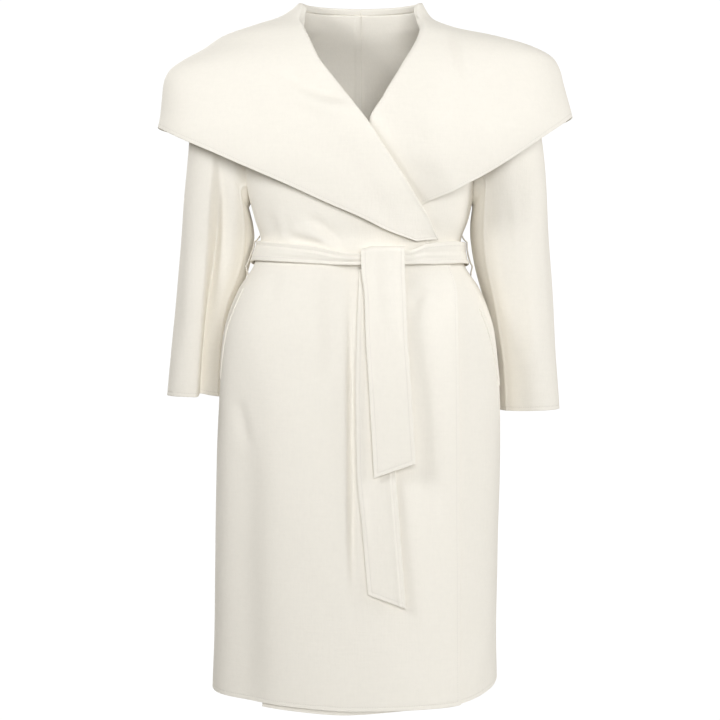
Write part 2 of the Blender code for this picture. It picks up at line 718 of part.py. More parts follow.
def build_end_front():
    """From behind the belt, over its top edge and down the front."""
    falling = ribbon_rows(END_FRONT, END_FRONT_SLANT, 9)
    top = falling[0]
    radius = TURN_DEPTH / 2
    centre_z = TURN_TOP - radius
    rows = [top + np.array([0, TURN_DEPTH, TURN_TOP - TURN_BEHIND - radius - top[0, 2]])]
    for step in range(0, 181, 30):
        lean = math.radians(step)
        shift = radius + radius * math.cos(lean)
        rows.append(top + np.array([0, shift, centre_z + radius * math.sin(lean) - top[0, 2]]))
    outer = np.concatenate([np.stack(rows), falling])
    along = np.gradient(outer, axis=0)
    along[:, :, 0] = 0
    inward = unit(np.cross(along, np.array([1.0, 0, 0])))
    if inward[-1, 0, 1] < 0:
        inward = -inward
    return wall("belt_end_front", outer, outer + CLOTH * inward)


def build_welt(name, table, side):
    top, low = table
    height = np.linspace(low.height, top.height, 7)[:, None]
    angle_line = np.linspace(low.angle, top.angle, 7)[:, None]
    half = np.degrees(WELT_WIDTH / 2 / HIP_RADIUS)
    angle = angle_line + np.linspace(-half, half, 3)[None, :]
    level = height + 0 * angle
    away = body_normal(angle, level)
    lift = (lap_lift(angle, level) if side < 0 else flat_lift(angle, level)) + LAYER_GAP * 0.6
    inner = body(angle, level) + away * lift[..., None]
    return wall(name, inner + TRIM_CLOTH * away, inner)


def build_loop(name, side):
    height = np.linspace(LOOP_LOW, LOOP_TOP, 11)[:, None]
    half = np.degrees(LOOP_WIDTH / 2 / WAIST_RADIUS)
    angle = side * LOOP_ANGLE + np.linspace(-half, half, 3)[None, :]
    level = height + 0 * angle
    share = (height - LOOP_LOW) / (LOOP_TOP - LOOP_LOW)
    over_belt = BELT_BACK_STAND + BELT_STAND + BELT_CLOTH + 0.0014
    rise = LOOP_FOOT + over_belt * ease(np.minimum(share, 1 - share) / LOOP_BEND)
    away = body_normal(angle, level)
    inner = body(angle, level) + away * (rise + 0 * angle)[..., None]
    return wall(name, inner + TRIM_CLOTH * away, inner)


# ---------------------------------------------------------------- build


def lapel_turn(ribs, hidden):
    """Depth of the turned-in edge at each place along the ribs."""
    front = sum(rib.inner_x is not None for rib in ribs)
    depth = [LAPEL_TURN if k < front else STAND for k in range(len(ribs))]
    for k in range(hidden):
        depth[k] = HIDDEN_TURN
    return lambda along: smooth(along, np.arange(len(ribs)), depth)


def main():
    for old in list(bpy.data.objects):
        bpy.data.objects.remove(old, do_unlink=True)
    for side, name in ((1, "left"), (-1, "right")):
        build_back(f"back_{name}", side)
        table = SLEEVE_LEFT if side > 0 else SLEEVE_RIGHT
        seam = SEAM_LEFT if side > 0 else SEAM_RIGHT
        build_sleeve(f"sleeve_top_{name}", table, side, seam, False, 15)
        build_sleeve(f"sleeve_under_{name}", table, side, seam, True, 6)
        build_welt(f"pocket_welt_{name}", WELT_LEFT if side > 0 else WELT_RIGHT, side)
        build_loop(f"belt_loop_{name}", side)
    build_front("front_left", 1, UNDERLAP_EDGE, 13, flat_lift, UNDERLAP_DROP)
    build_front("front_right", -1, LAP_EDGE, 13, lap_lift, 0.0)
    build_collar("collar_left", RIBS_LEFT, flat_lift, 18, 4)
    build_collar("collar_right", RIBS_RIGHT, lap_lift, 20, 0)
    build_waist("belt_waist_right", -95.0, KNOT_ANGLE - 0.2, 12)
    build_waist("belt_waist_left", KNOT_ANGLE + 0.2, 95.0, 10)
    build_waist("belt_waist_back", 95.3, 264.7, 14)
    build_end_front()
    build_end_back()


main()
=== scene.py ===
import math
from collections import namedtuple

import bpy
import numpy as np
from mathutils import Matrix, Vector


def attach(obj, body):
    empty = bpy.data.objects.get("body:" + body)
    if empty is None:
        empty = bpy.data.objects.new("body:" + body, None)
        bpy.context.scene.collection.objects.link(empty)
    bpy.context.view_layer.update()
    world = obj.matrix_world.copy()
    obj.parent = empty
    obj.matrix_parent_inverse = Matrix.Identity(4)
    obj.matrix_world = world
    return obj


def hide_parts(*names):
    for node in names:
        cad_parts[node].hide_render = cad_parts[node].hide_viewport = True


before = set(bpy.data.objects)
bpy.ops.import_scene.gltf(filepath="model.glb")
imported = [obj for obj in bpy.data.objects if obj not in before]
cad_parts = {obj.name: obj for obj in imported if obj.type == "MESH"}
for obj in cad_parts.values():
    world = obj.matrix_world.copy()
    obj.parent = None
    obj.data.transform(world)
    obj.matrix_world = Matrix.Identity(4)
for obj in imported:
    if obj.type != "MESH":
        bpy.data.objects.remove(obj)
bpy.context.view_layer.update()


def listed(kind, *table):
    """A table's rows with their columns' names."""
    return [kind(*row) for row in table]


# Cloth
CLOTH = 0.0022  # one layer of double-faced wool
LAYER_GAP = 0.0018  # between two layers that lie on each other
LAYER = CLOTH + LAYER_GAP
BELT_CLOTH = 0.0036  # the belt is folded to two layers round the waist
TRIM_CLOTH = 0.0016

# Body: the outer face of a single layer, as rings round the figure
BODY_POWER = 2.3  # 2 is an ellipse, more is squarer
Ring = namedtuple("Ring", "height half_width front back shift")
BODY = listed(
    Ring,
    (0.0150, 0.0845, 0.044, 0.059, 0.000),
    (0.0040, 0.0870, 0.047, 0.061, 0.000),
    (-0.0170, 0.1000, 0.054, 0.069, 0.000),
    (-0.0320, 0.1350, 0.063, 0.077, 0.000),
    (-0.0425, 0.1680, 0.070, 0.084, 0.000),
    (-0.0525, 0.1940, 0.077, 0.090, 0.000),
    (-0.0650, 0.2040, 0.086, 0.097, 0.000),
    (-0.1000, 0.1980, 0.104, 0.110, 0.000),
    (-0.1500, 0.1870, 0.119, 0.116, 0.000),
    (-0.2000, 0.1770, 0.1285, 0.116, 0.000),
    (-0.2500, 0.1660, 0.127, 0.110, 0.000),
    (-0.3000, 0.1545, 0.118, 0.101, 0.001),
    (-0.3350, 0.1440, 0.113, 0.096, 0.000),
    (-0.3650, 0.1510, 0.1155, 0.100, -0.002),
    (-0.4000, 0.1730, 0.121, 0.110, -0.002),
    (-0.4300, 0.1860, 0.127, 0.119, -0.002),
    (-0.4650, 0.1955, 0.132, 0.127, -0.002),
    (-0.5100, 0.2000, 0.135, 0.133, -0.002),
    (-0.5600, 0.2025, 0.137, 0.136, -0.002),
    (-0.6500, 0.2045, 0.139, 0.138, -0.004),
    (-0.7700, 0.2045, 0.142, 0.140, -0.006),
    (-0.8900, 0.2045, 0.144, 0.142, -0.008),
    (-0.9900, 0.2060, 0.146, 0.144, -0.009),
)

Hem = namedtuple("Hem", "angle height")
BODY_HEM = listed(
    Hem,
    (-180, -0.968), (-90, -0.971), (-45, -0.972), (0, -0.9775), (45, -0.9775), (72, -0.966),
    (90, -0.958), (135, -0.962), (180, -0.968),
)
HEM_ROW = -0.985
UNDERLAP_DROP = 0.0065  # the underlapping front hangs this much lower at its edge
DROP_START = 0.35  # from this share of its width on
DROP_FADE = 0.4
HEM_ZONE = -0.86  # below this height the hem's own line takes over

# Armholes and shoulders
ARMHOLE_TOP = -0.060
ARMHOLE_LOW = -0.278
ARMHOLE_MIDDLE = (ARMHOLE_TOP + ARMHOLE_LOW) / 2
ARMHOLE_HALF = (ARMHOLE_TOP - ARMHOLE_LOW) / 2
ARMHOLE_ANGLE = 22.0  # half of its opening, in degrees round the body
NECK_SEAM = 0.0045

# Front edges: x at each height, from the neck's base down
Edge = namedtuple("Edge", "height x")
LAP_EDGE = listed(
    Edge,
    (0.0045, -0.0800), (-0.0331, -0.0709), (-0.0777, -0.0547), (-0.1207, -0.0278),
    (-0.1543, -0.0069), (-0.1746, 0.0110), (-0.2310, 0.0480), (-0.2737, 0.0743), (-0.3000, 0.0895),
    (-0.3335, 0.1000), (-0.3650, 0.1220), (-0.4100, 0.1340), (-0.9900, 0.1365),
)
UNDERLAP_EDGE = listed(
    Edge,
    (0.0045, 0.0800), (-0.0437, 0.0739), (-0.0894, 0.0532), (-0.1323, 0.0319), (-0.1746, 0.0110),
    (-0.2310, -0.0250), (-0.2737, -0.0520), (-0.3000, -0.0690), (-0.3350, -0.0880),
    (-0.4100, -0.1180), (-0.6000, -0.1300), (-0.9900, -0.1400),
)
LAP_START = -0.100  # the fronts begin to lie on each other below this height
LAP_FULL = -0.165
LAP_SIDE = -88.0  # angle where the lapping front starts to lift over the other
LAP_OVER = -69.0
LAP_EDGE_ANGLE = 66.0  # where the lapping front ends at the waist
WAIST = -0.348
LAP_LIFT = 0.0006  # the fronts lie this much less closely than the other layers
WAIST_LIFT = 0.0020  # and less closely still where the belt gathers them
WAIST_REACH = 0.030
UNDER_ROLL_LIFT = 0.0016  # and where the collar passes between them
UNDER_ROLL_REACH = 0.045  # which is this far past the under collar's flat strip
UNDER_ROLL_FADE = 0.040
UNDER_ROLL_LOW = -0.345

# Collar: rings of the draped form, from the roll at the neck outwards and down
Drape = namedtuple("Drape", "height reach_right reach_left front back")
DRAPE = listed(
    Drape,
    (0.015, 0.0840, 0.0840, 0.045, 0.058),
    (0.013, 0.0885, 0.0885, 0.050, 0.0655),
    (0.002, 0.1020, 0.0950, 0.056, 0.0745),
    (-0.010, 0.1220, 0.1045, 0.062, 0.0825),
    (-0.023, 0.1595, 0.1380, 0.071, 0.088),
    (-0.036, 0.2010, 0.1960, 0.080, 0.098),
    (-0.053, 0.2280, 0.2520, 0.091, 0.107),
    (-0.070, 0.2580, 0.2800, 0.102, 0.115),
    (-0.087, 0.2790, 0.2890, 0.111, 0.121),
    (-0.106, 0.2870, 0.2940, 0.119, 0.126),
    (-0.152, 0.2910, 0.3060, 0.134, 0.133),
    (-0.180, 0.2950, 0.3110, 0.140, 0.136),
    (-0.220, 0.2850, 0.2950, 0.1435, 0.137),
    (-0.260, 0.2620, 0.2700, 0.1410, 0.134),
    (-0.345, 0.2000, 0.2100, 0.1290, 0.112),
)
DRAPE_REACH = 0.085  # distance over which the collar leaves the front for the drape

# Collar ribs, from the belt up the roll, round the neck and to the centre back.
# The inner and outer ends are an x, or an angle once the rib is behind the shoulder.
Rib = namedtuple("Rib", "inner_x inner_angle inner_height outer_x outer_angle outer_height")
RIBS_RIGHT = listed(
    Rib,
    (0.1030, None, -0.3315, 0.0800, None, -0.3355),
    (0.0895, None, -0.3000, 0.0384, None, -0.3220),
    (0.0743, None, -0.2737, -0.0014, None, -0.3028),
    (0.0480, None, -0.2310, -0.0537, None, -0.2805),
    (0.0110, None, -0.1746, -0.1023, None, -0.2579),
    (-0.0278, None, -0.1207, -0.1632, None, -0.2314),
    (-0.0547, None, -0.0777, -0.2130, None, -0.2085),
    (-0.0709, None, -0.0331, -0.2560, None, -0.1885),
    (None, -78.0, 0.0110, None, -89.0, -0.1690),
    (None, -100.0, 0.0149, None, -109.0, -0.1780),
    (None, -135.0, 0.0149, None, -140.0, -0.1950),
    (None, -180.0, 0.0149, None, -180.0, -0.2050),
)
RIBS_LEFT = listed(
    Rib,
    (0.0650, None, -0.2890, 0.0850, None, -0.293),
    (0.0560, None, -0.2700, 0.1000, None, -0.284),
    (0.0280, None, -0.2240, 0.1340, None, -0.264),
    (0.0110, None, -0.1746, 0.1796, None, -0.239),
    (0.0319, None, -0.1323, 0.2150, None, -0.217),
    (0.0532, None, -0.0894, 0.2460, None, -0.196),
    (0.0739, None, -0.0437, 0.2780, None, -0.174),
    (None, 78.0, 0.0110, None, 89.0, -0.154),
    (None, 100.0, 0.0149, None, 109.0, -0.170),
    (None, 135.0, 0.0149, None, 140.0, -0.193),
    (None, 180.0, 0.0149, None, 180.0, -0.205),
)
ROLL_RADIUS = 0.0028  # outer face of the roll along the collar's inner edge
EDGE_SET_BACK = 0.0105  # from the roll to the edge of the front beneath it
ROLL_STAND = 0.0007  # extra clearance between the collar and the front beneath it
COLLAR_STAND = 0.0005  # and more of it on the shoulder
COLLAR_STAND_LOW = -0.16
COLLAR_STAND_FADE = 0.08
HIDDEN_STRIP = 0.030  # the under collar keeps flat this far below the lapping one
HIDDEN_RIBS = 4  # its ribs that the lapping one covers
CENTRE_BACK_GAP = 0.0004  # of the last ribs' spacing
COLLAR_SPACING = 1.02  # above 1 sets the collar's columns closer at the roll
COLLAR_UNEVEN = 1.6  # the collar is less even than the coat
COLLAR_SMOOTH = 0.08  # share of its width over which that begins at the roll
EDGE_CLEAR = 0.0006  # from the front's edge to the collar's turned-in edge
ROLL_LEAST = 0.0026
ROLL_MOST = 0.0044
LIP_CLEAR = 0.0034  # the fall's grid begins this far from the roll
STAND_COLUMNS = 5

# Sleeves: sections from the shoulder to the cuff, between an outer and an inner point
Section = namedtuple("Section", "outer_x outer_z inner_x inner_z centre_y half_depth")
SLEEVE_LEFT = listed(
    Section,
    (0.2320, -0.0760, 0.1620, -0.2850, 0.000, 0.0660),
    (0.2520, -0.1250, 0.1610, -0.2930, 0.001, 0.0660),
    (0.2640, -0.2000, 0.1595, -0.3080, 0.004, 0.0640),
    (0.2715, -0.2800, 0.1605, -0.3330, 0.009, 0.0605),
    (0.2765, -0.3500, 0.1680, -0.3750, 0.016, 0.0580),
    (0.2820, -0.4200, 0.1835, -0.4300, 0.026, 0.0555),
    (0.2870, -0.5000, 0.1985, -0.5050, 0.037, 0.0525),
    (0.2935, -0.5775, 0.2060, -0.5795, 0.047, 0.0490),
)
SLEEVE_RIGHT = listed(
    Section,
    (0.2280, -0.076, 0.1620, -0.285, 0.000, 0.0660),
    (0.2440, -0.125, 0.1600, -0.293, 0.004, 0.0655),
    (0.2510, -0.200, 0.1570, -0.308, 0.013, 0.0635),
    (0.2590, -0.280, 0.1565, -0.330, 0.027, 0.0600),
    (0.2650, -0.350, 0.1640, -0.370, 0.042, 0.0575),
    (0.2725, -0.420, 0.1830, -0.426, 0.056, 0.0550),
    (0.2810, -0.490, 0.1940, -0.493, 0.069, 0.0525),
    (0.2895, -0.560, 0.1995, -0.562, 0.081, 0.0490),
)
HEAD_GAP = 0.0004  # the sleeve's head sits this far outside the armhole
# Degrees from the sleeve's outer line to its front and back seams
SleeveSeam = namedtuple("SleeveSeam", "armhole cuff")
SEAM_LEFT = SleeveSeam(124.0, 146.0)
SEAM_RIGHT = SleeveSeam(138.0, 146.0)

# Belt round the waist: its two edges at each angle
BeltEdge = namedtuple("BeltEdge", "angle low high")
BELT = listed(
    BeltEdge,
    (-180, -0.3760, -0.3300), (-120, -0.3720, -0.3290), (-75, -0.3640, -0.3330),
    (-30, -0.3680, -0.3430), (-5, -0.3710, -0.3540), (14, -0.3710, -0.3500), (31, -0.3705, -0.3494),
    (41, -0.3700, -0.3400), (60, -0.3690, -0.3345), (75, -0.3680, -0.3340), (120, -0.3740, -0.3300),
    (180, -0.3760, -0.3300),
)
BELT_STAND = 0.0017  # clear of the coat
BELT_BACK_STAND = 0.0020  # more behind, where the body turns faster
KNOT_ANGLE = 14.0
KNOT_STAND = 0.0050  # further out where the front end passes behind it
KNOT_GAP = 0.2  # degrees from the knot to the belt's two ends
KNOT_REACH = 34.0
KNOT_FADE = 12.0

# Hanging ends of the belt. The front one turns over the belt's top edge.
TURN_TOP = -0.3425
TURN_BEHIND = 0.006  # reaches this far down behind the belt
TURN_DEPTH = 0.0186  # from its back strand to its front strand
Ribbon = namedtuple("Ribbon", "height left right front")
END_FRONT = listed(
    Ribbon,
    (-0.360, 0, 0.0610, 0.1384),
    (-0.380, 0.0010, 0.0610, 0.1405),
    (-0.410, 0.0045, 0.0625, 0.1440),
    (-0.460, 0.0060, 0.0640, 0.1495),
    (-0.540, 0.0110, 0.0690, 0.1550),
    (-0.639, 0.0177, 0.0750, 0.1575),
)
END_BACK = listed(
    Ribbon,
    (-0.374, -0.0020, 0.0500, 0.1265),
    (-0.440, -0.0050, 0.0480, 0.1400),
    (-0.540, -0.0070, 0.0470, 0.1475),
    (-0.650, -0.0055, 0.0480, 0.1500),
    (-0.720, 0.0007, 0.0530, 0.1510),
    (-0.818, 0.0096, 0.0615, 0.1525),
)
END_FRONT_SLANT = 0.0200  # the cut end is longer on one side
END_BACK_SLANT = -0.0190

# Side pockets and belt loops
Welt = namedtuple("Welt", "height angle")
WELT_RIGHT = [Welt(-0.402, -72.0), Welt(-0.530, -82.0)]
WELT_LEFT = [Welt(-0.430, 72.0), Welt(-0.540, 82.0)]
WELT_WIDTH = 0.012
WELT_STAND = 0.7 * TRIM_CLOTH  # its face above the coat's
HIP_RADIUS = 0.16
WAIST_RADIUS = 0.15
LOOP_ANGLE = 92.0
LOOP_WIDTH = 0.009
LOOP_TOP = -0.3235
LOOP_FOOT = 0.0011  # clear of the coat where it is sewn on
LOOP_CLEAR = 0.0014  # further clear of the belt
LOOP_BEND = 0.16  # share of its length over which it rises to pass the belt
LOOP_LOW = -0.3830

# Camera and light
CAMERA_AT = (-0.001, -2.45, -0.403)
CAMERA_LENS = 84.5
CAMERA_SHIFT = -0.0972
FLOOR = -1.42
FLOOR_RADIUS = 0.95
AMBIENT = 0.17
AMBIENT_COLOUR = (1.0, 0.93, 0.80)
BACKGROUND = 1.05
COOL = (0.955, 0.972, 1.0)
PALE = (0.93, 0.93, 0.93)
Lamp = namedtuple("Lamp", "name place aim width height power spread colour")
LAMPS = [
    Lamp("front", (0.35, -3.1, 0.1), (0, 0, -0.2), 1.2, 1.2, 36.6, 150, COOL),
    Lamp("fill_left", (-2.0, -1.7, 0.9), (-0.2, 0, -0.05), 0.8, 0.8, 4.6, 60, COOL),
    Lamp("side_right", (2.6, -0.45, 0.3), (0.2, 0, -0.3), 1.2, 1.6, 25.8, 150, COOL),
    Lamp("rear", (-1.2, 2.6, 1.0), (0, 0, -0.4), 2.0, 2.0, 53.0, 150, COOL),
]

# Look of the cloth: edges, seams and stitching
EDGE_STITCH = 0.0058  # line of stitches inside a turned edge
STITCH = 0.0034
STITCH_CHANNEL = 0.00036  # depth and half width of the channel that the stitches pull in
CHANNEL_HALF = 0.0011
COLLAR_CHANNEL = 0.00012
END_CHANNEL = 0.0003
WELT_CHANNEL = 0.0001
TURN_DROOP = 0.0035  # the corner of the belt's turn over the knot sags this much
DROOP_WIDTH = 0.30
TURN_STEP = 9  # degrees from one row of that turn to the next
SEAM_DIP = 0.0006
SEAM_REACH = 0.0014
RIDGE_DIP = 0.6 * SEAM_DIP  # a ridged seam dips less, on top of its ridge
RIDGE_DIP_REACH = 0.7 * SEAM_REACH
SLEEVE_RIDGE = 0.0016
RIDGE_REACH = 0.0028
INSIDE_RAISE = -0.001  # the cloth's inner face follows a ridge no further than this
THIN = 0.00006  # half the cloth's thickness at the tip of a rounded edge

# The lapped seam down the centre back: a flat fold of one back, with a groove, over the other
Welted = namedtuple("Welted", "height edge slope")
CENTRE_FOLD = Welted(0.0020, 0.0095, 0.0016)
CENTRE_GROOVE = Welted(-0.0014, 0.0078, 0.0008)
CENTRE_UNDER = Welted(0.0006, 0.0042, 0.0020)
CENTRE_GAP = 0.00005  # half the gap at the centre back, in metres
SIDE_GAP = 0.02  # half the gap at the side seams, in degrees

# Grids of the cloth: distances from each kind of edge, then the even part's rows and columns
STEPS = {
    "free": [0, 0.00012, 0.0004, 0.0009, 0.0016, 0.0028, 0.0041, 0.005, 0.0058, 0.0066, 0.0077, 0.0095],
    "seam": [0, 0.0007, 0.0014, 0.0024, 0.0038, 0.006],
    "ridge": [0, 0.0007, 0.0014, 0.0024, 0.0038, 0.006],
    "plain": [0],
}
SKIRT_FINE = 160
ARMHOLE_FINE = 56
SHOULDER_FINE = 26
BELOW_ARMHOLE = 0.004
ABOVE_ARMHOLE = 0.002
LOOP_SHARES = [0, 0.02, 0.08, 0.2, 0.4, 0.6, 0.8, 0.92, 0.98, 1]
Grid = namedtuple("Grid", "length width rows columns")  # a rough size, which sets the rims' shares
BACK_GRID = Grid(None, 0.25, None, 66)
LEFT_GRID = Grid(None, 0.26, None, 96)
RIGHT_GRID = Grid(None, 0.26, None, 100)
COLLAR_LEFT_GRID = Grid(0.55, 0.25, 130, 74)
COLLAR_RIGHT_GRID = Grid(0.55, 0.25, 140, 74)
TOP_GRID = Grid(0.50, 0.24, 120, 90)
UNDER_GRID = Grid(0.50, 0.10, 120, 36)
BELT_GRID = Grid(0.040, None, 30, 420)
END_FRONT_GRID = Grid(0.42, 0.058, 96, 26)
END_BACK_GRID = Grid(0.42, 0.058, 120, 26)
WELT_GRID = Grid(0.13, 0.026, 40, 4)
LOOP_GRID = Grid(0.060, None, 44, None)

# Creases: soft troughs (depth below 0) and ridges along bowed lines on one face of the coat,
# across and up in metres. `lip` is the share pushed up beside the line.
# `skew` widens the line on one side, above 0 towards +X or +Y.
CREASE_FADE = 0.35  # share of its length over which a crease fades at each end
LIP_PLACE = 1.8  # of the crease's width, from its line
LIP_WIDTH = 1.3
Face = namedtuple("Face", "start fade")  # how one face of the form gives way to the next
BODY_FRONT = Face(-0.05, 0.3)
BODY_SIDE = Face(0.55, 0.3)
SLEEVE_FRONT = Face(0.05, 0.35)
SLEEVE_OUTER = Face(0.3, 0.4)
BELT_FRONT = Face(-0.05, 0.4)
SLEEVE_HEAD = Face(0.3, 1.2)  # in sections from the armhole: the head has no creases
Crease = namedtuple("Crease", "across0 z0 across1 z1 width depth bow lip skew", defaults=(1.0,))


def creases(**faces):
    """Each crease with its face, from rows of a Crease's fields in their order."""
    return [(face, row) for face, table in faces.items() for row in listed(Crease, *table)]


COAT_CREASES = creases(
    front=[
        # bodice, drawn in by the belt
        (-0.078, -0.296, -0.020, -0.344, 0.007, -0.0040, 0.0030, -0.7),
        (-0.104, -0.324, -0.042, -0.342, 0.006, -0.0032, -0.0030, 0.6),
        (-0.099, -0.296, -0.101, -0.330, 0.006, -0.0014, 0, 0.0),
        (0.108, -0.302, 0.086, -0.342, 0.008, -0.0020, 0.0020, 0.4),
        (-0.129, -0.290, -0.118, -0.334, 0.008, -0.0020, 0.0020, 0.3),
        # skirt, below the belt
        (-0.044, -0.366, -0.045, -0.560, 0.015, -0.0038, 0.0030, 0.0),
        (0.063, -0.430, 0.099, -0.401, 0.010, -0.0030, 0, 0.5),
        (0.083, -0.460, 0.086, -0.820, 0.013, -0.0018, 0, 0.2),
        (-0.176, -0.545, -0.160, -0.630, 0.009, -0.0024, 0, 0.4),
        (-0.166, -0.430, -0.162, -1.150, 0.034, -0.0135, 0, 0.0),
        (-0.014, -0.370, -0.011, -0.880, 0.005, -0.0080, 0, 0.0),
        (-0.115, -0.370, -0.126, -0.430, 0.010, -0.0018, 0, 0.3),
        (0.106, -0.370, 0.120, -0.435, 0.011, -0.0016, 0, 0.3),
        (0.176, -0.885, 0.150, -0.970, 0.010, 0.0020, 0, 0.0),
    ],
    back=[
        # back
        (-0.096, -0.244, -0.035, -0.336, 0.009, -0.0030, 0.0050, 0.5),
        (0.102, -0.250, 0.042, -0.336, 0.009, -0.0034, -0.0050, -0.5),
        (-0.012, -0.290, -0.006, -0.340, 0.008, -0.0018, 0, 0.3),
        (-0.070, -0.374, -0.086, -0.590, 0.014, -0.0034, 0.0040, 0.3),
        (0.056, -0.374, 0.074, -0.640, 0.015, -0.0032, -0.0040, 0.3),
        (-0.016, -0.378, -0.022, -0.480, 0.011, -0.0018, 0, 0.2),
        (0.112, -0.372, 0.129, -0.490, 0.011, -0.0026, 0, 0.3),
        (-0.120, -0.372, -0.138, -0.500, 0.012, -0.0026, 0, 0.3),
        (-0.094, -0.660, -0.090, -0.930, 0.020, -0.0026, 0, 0.2),
        (0.100, -0.620, 0.108, -0.900, 0.020, -0.0028, 0, 0.2),
    ],
    left=[
        (-0.030, -0.376, -0.042, -0.470, 0.010, -0.0022, 0, 0.3),
        (0.038, -0.376, 0.050, -0.490, 0.011, -0.0022, 0, 0.3),
    ],
    right=[
        (-0.034, -0.376, -0.044, -0.460, 0.010, -0.0020, 0, 0.3),
        (0.036, -0.376, 0.048, -0.480, 0.011, -0.0022, 0, 0.3),
    ],
)
COLLAR_CREASES = creases(
    front=[
        (-0.115, -0.096, 0.000, -0.142, 0.010, -0.0062, -0.0085, -0.45),
        (-0.190, -0.124, -0.130, -0.170, 0.018, -0.0022, 0.0040, 0.3),
        (-0.090, -0.200, -0.020, -0.235, 0.016, -0.0014, 0.0040, 0.3),
        (0.118, -0.020, 0.135, -0.130, 0.009, -0.0036, 0.0030, 0.5),
        (0.165, -0.090, 0.185, -0.190, 0.020, -0.0022, 0.0060, 0.3),
        (0.060, -0.150, 0.090, -0.215, 0.015, -0.0014, 0.0040, 0.3),
    ],
    back=[
        (-0.095, -0.040, -0.140, -0.150, 0.015, -0.0036, 0.0060, 0.4),
        (0.085, -0.038, 0.130, -0.150, 0.015, -0.0034, -0.0060, -0.4),
        (-0.028, -0.070, -0.042, -0.190, 0.018, -0.0020, 0.0040, 0.3),
        (0.033, -0.090, 0.042, -0.200, 0.018, -0.0020, -0.0040, 0.3),
        (-0.210, -0.100, -0.200, -0.180, 0.020, -0.0028, 0, 0.3),
        (0.215, -0.100, 0.205, -0.180, 0.020, -0.0028, 0, 0.3),
    ],
)
SLEEVE_RIGHT_CREASES = creases(
    front=[
        (-0.199, -0.150, -0.248, -0.720, 0.005, -0.0240, 0.0030, 0.0, 4.4),
    ],
    back=[
        (-0.205, -0.270, -0.256, -0.330, 0.012, -0.0030, 0.0050, 0.4),
        (-0.190, -0.350, -0.250, -0.380, 0.011, -0.0026, -0.0040, 0.4),
        (-0.220, -0.220, -0.228, -0.530, 0.015, -0.0026, 0, 0.3),
    ],
    outer=[
        (0.010, -0.270, 0.040, -0.520, 0.015, -0.0022, 0, 0.3),
    ],
)
SLEEVE_LEFT_CREASES = creases(
    front=[
        (0.226, -0.190, 0.232, -0.590, 0.013, -0.0028, 0, 0.3),
        (0.205, -0.250, 0.218, -0.440, 0.009, -0.0020, 0, 0.3),
    ],
    back=[
        (0.200, -0.260, 0.252, -0.320, 0.012, -0.0030, -0.0050, -0.4),
        (0.190, -0.340, 0.248, -0.375, 0.011, -0.0026, 0.0040, -0.4),
        (0.218, -0.220, 0.230, -0.530, 0.015, -0.0026, 0, 0.3),
    ],
    outer=[
        (-0.010, -0.260, 0.010, -0.520, 0.015, -0.0022, 0, 0.3),
    ],
)
# Folds along the belt: the share of its width where each lies, at two angles
FOLD_FADE = 0.2
FOLD_WAVE = 0.02
FOLD_WAVES = 9.0
BeltFold = namedtuple("BeltFold", "start end share0 share1 width depth")
BELT_FOLDS = listed(
    BeltFold,
    (-95, 10, 0.80, 0.72, 0.10, -0.0012),
    (-60, 8, 0.22, 0.30, 0.10, -0.0013),
    (-40, 6, 0.55, 0.50, 0.09, 0.0009),
    (22, 92, 0.62, 0.48, 0.09, -0.0012),
    (26, 96, 0.28, 0.22, 0.08, -0.0010),
    (30, 80, 0.80, 0.86, 0.08, 0.0008),
    (100, 200, 0.70, 0.62, 0.10, -0.0010),
    (150, 262, 0.30, 0.36, 0.10, -0.0012),
    (190, 268, 0.66, 0.76, 0.09, 0.0007),
)
# Folds down the hanging ends: a place and width across them, between two shares of their length
EndFold = namedtuple("EndFold", "place width size low high")
END_BACK_FOLDS = listed(
    EndFold,
    (0.10, 0.10, 0.0016, 0.00, 0.90),
    (0.55, 0.25, -0.0012, 0.05, 0.80),
    (0.84, 0.05, 0.0010, 0.30, 1.20),
)
END_FRONT_FOLDS = listed(
    EndFold,
    (0.06, 0.07, 0.0012, 0.00, 0.70),
    (0.32, 0.12, -0.0012, -0.20, 0.35),
    (0.62, 0.16, 0.0012, -0.20, 0.40),
    (0.86, 0.08, -0.0010, -0.20, 0.45),
)
END_FOLD_FADE = 0.12
TURN_ROWS = (1.0, 0.6, 0.3)  # of TURN_BEHIND: the front end's rows behind the belt
FORWARD = (0.0, -1.0, 0.0)
ROUNDING_FADE = 1.6  # how soon an end loses the waist's roundness
SLANT_POWER = 6  # how late its rows begin to slant towards the cut
# Waves of the cloth's own unevenness: a direction in radians per metre, a phase, and a size in metres
Wave = namedtuple("Wave", "x y z phase size")
WAVES = listed(
    Wave,
    (31.0, 12.0, 9.0, 0.3, 0.00042),
    (-17.0, 23.0, 14.0, 1.7, 0.00038),
    (52.0, -20.0, 21.0, 4.1, 0.00022),
    (-41.0, -33.0, 37.0, 2.2, 0.00020),
    (12.0, 61.0, -27.0, 5.3, 0.00017),
    (74.0, 18.0, 48.0, 0.9, 0.00011),
)

IVORY = (0.925, 0.885, 0.800)
CLOUD_SHADE = (0.97, 0.955, 0.92)  # of the ivory, in soft clouds
THREAD = (0.82, 0.78, 0.71)
THREAD_HALF = 0.00045
STITCH_SHARE = 0.60  # of each stitch's length that shows
WOOL = {
    "Roughness": 0.93,
    "Specular IOR Level": 0.12,
    "Sheen Weight": 0.16,
    "Sheen Roughness": 0.45,
    "Sheen Tint": (1.0, 0.97, 0.92, 1),
}

# ---- shared geometry


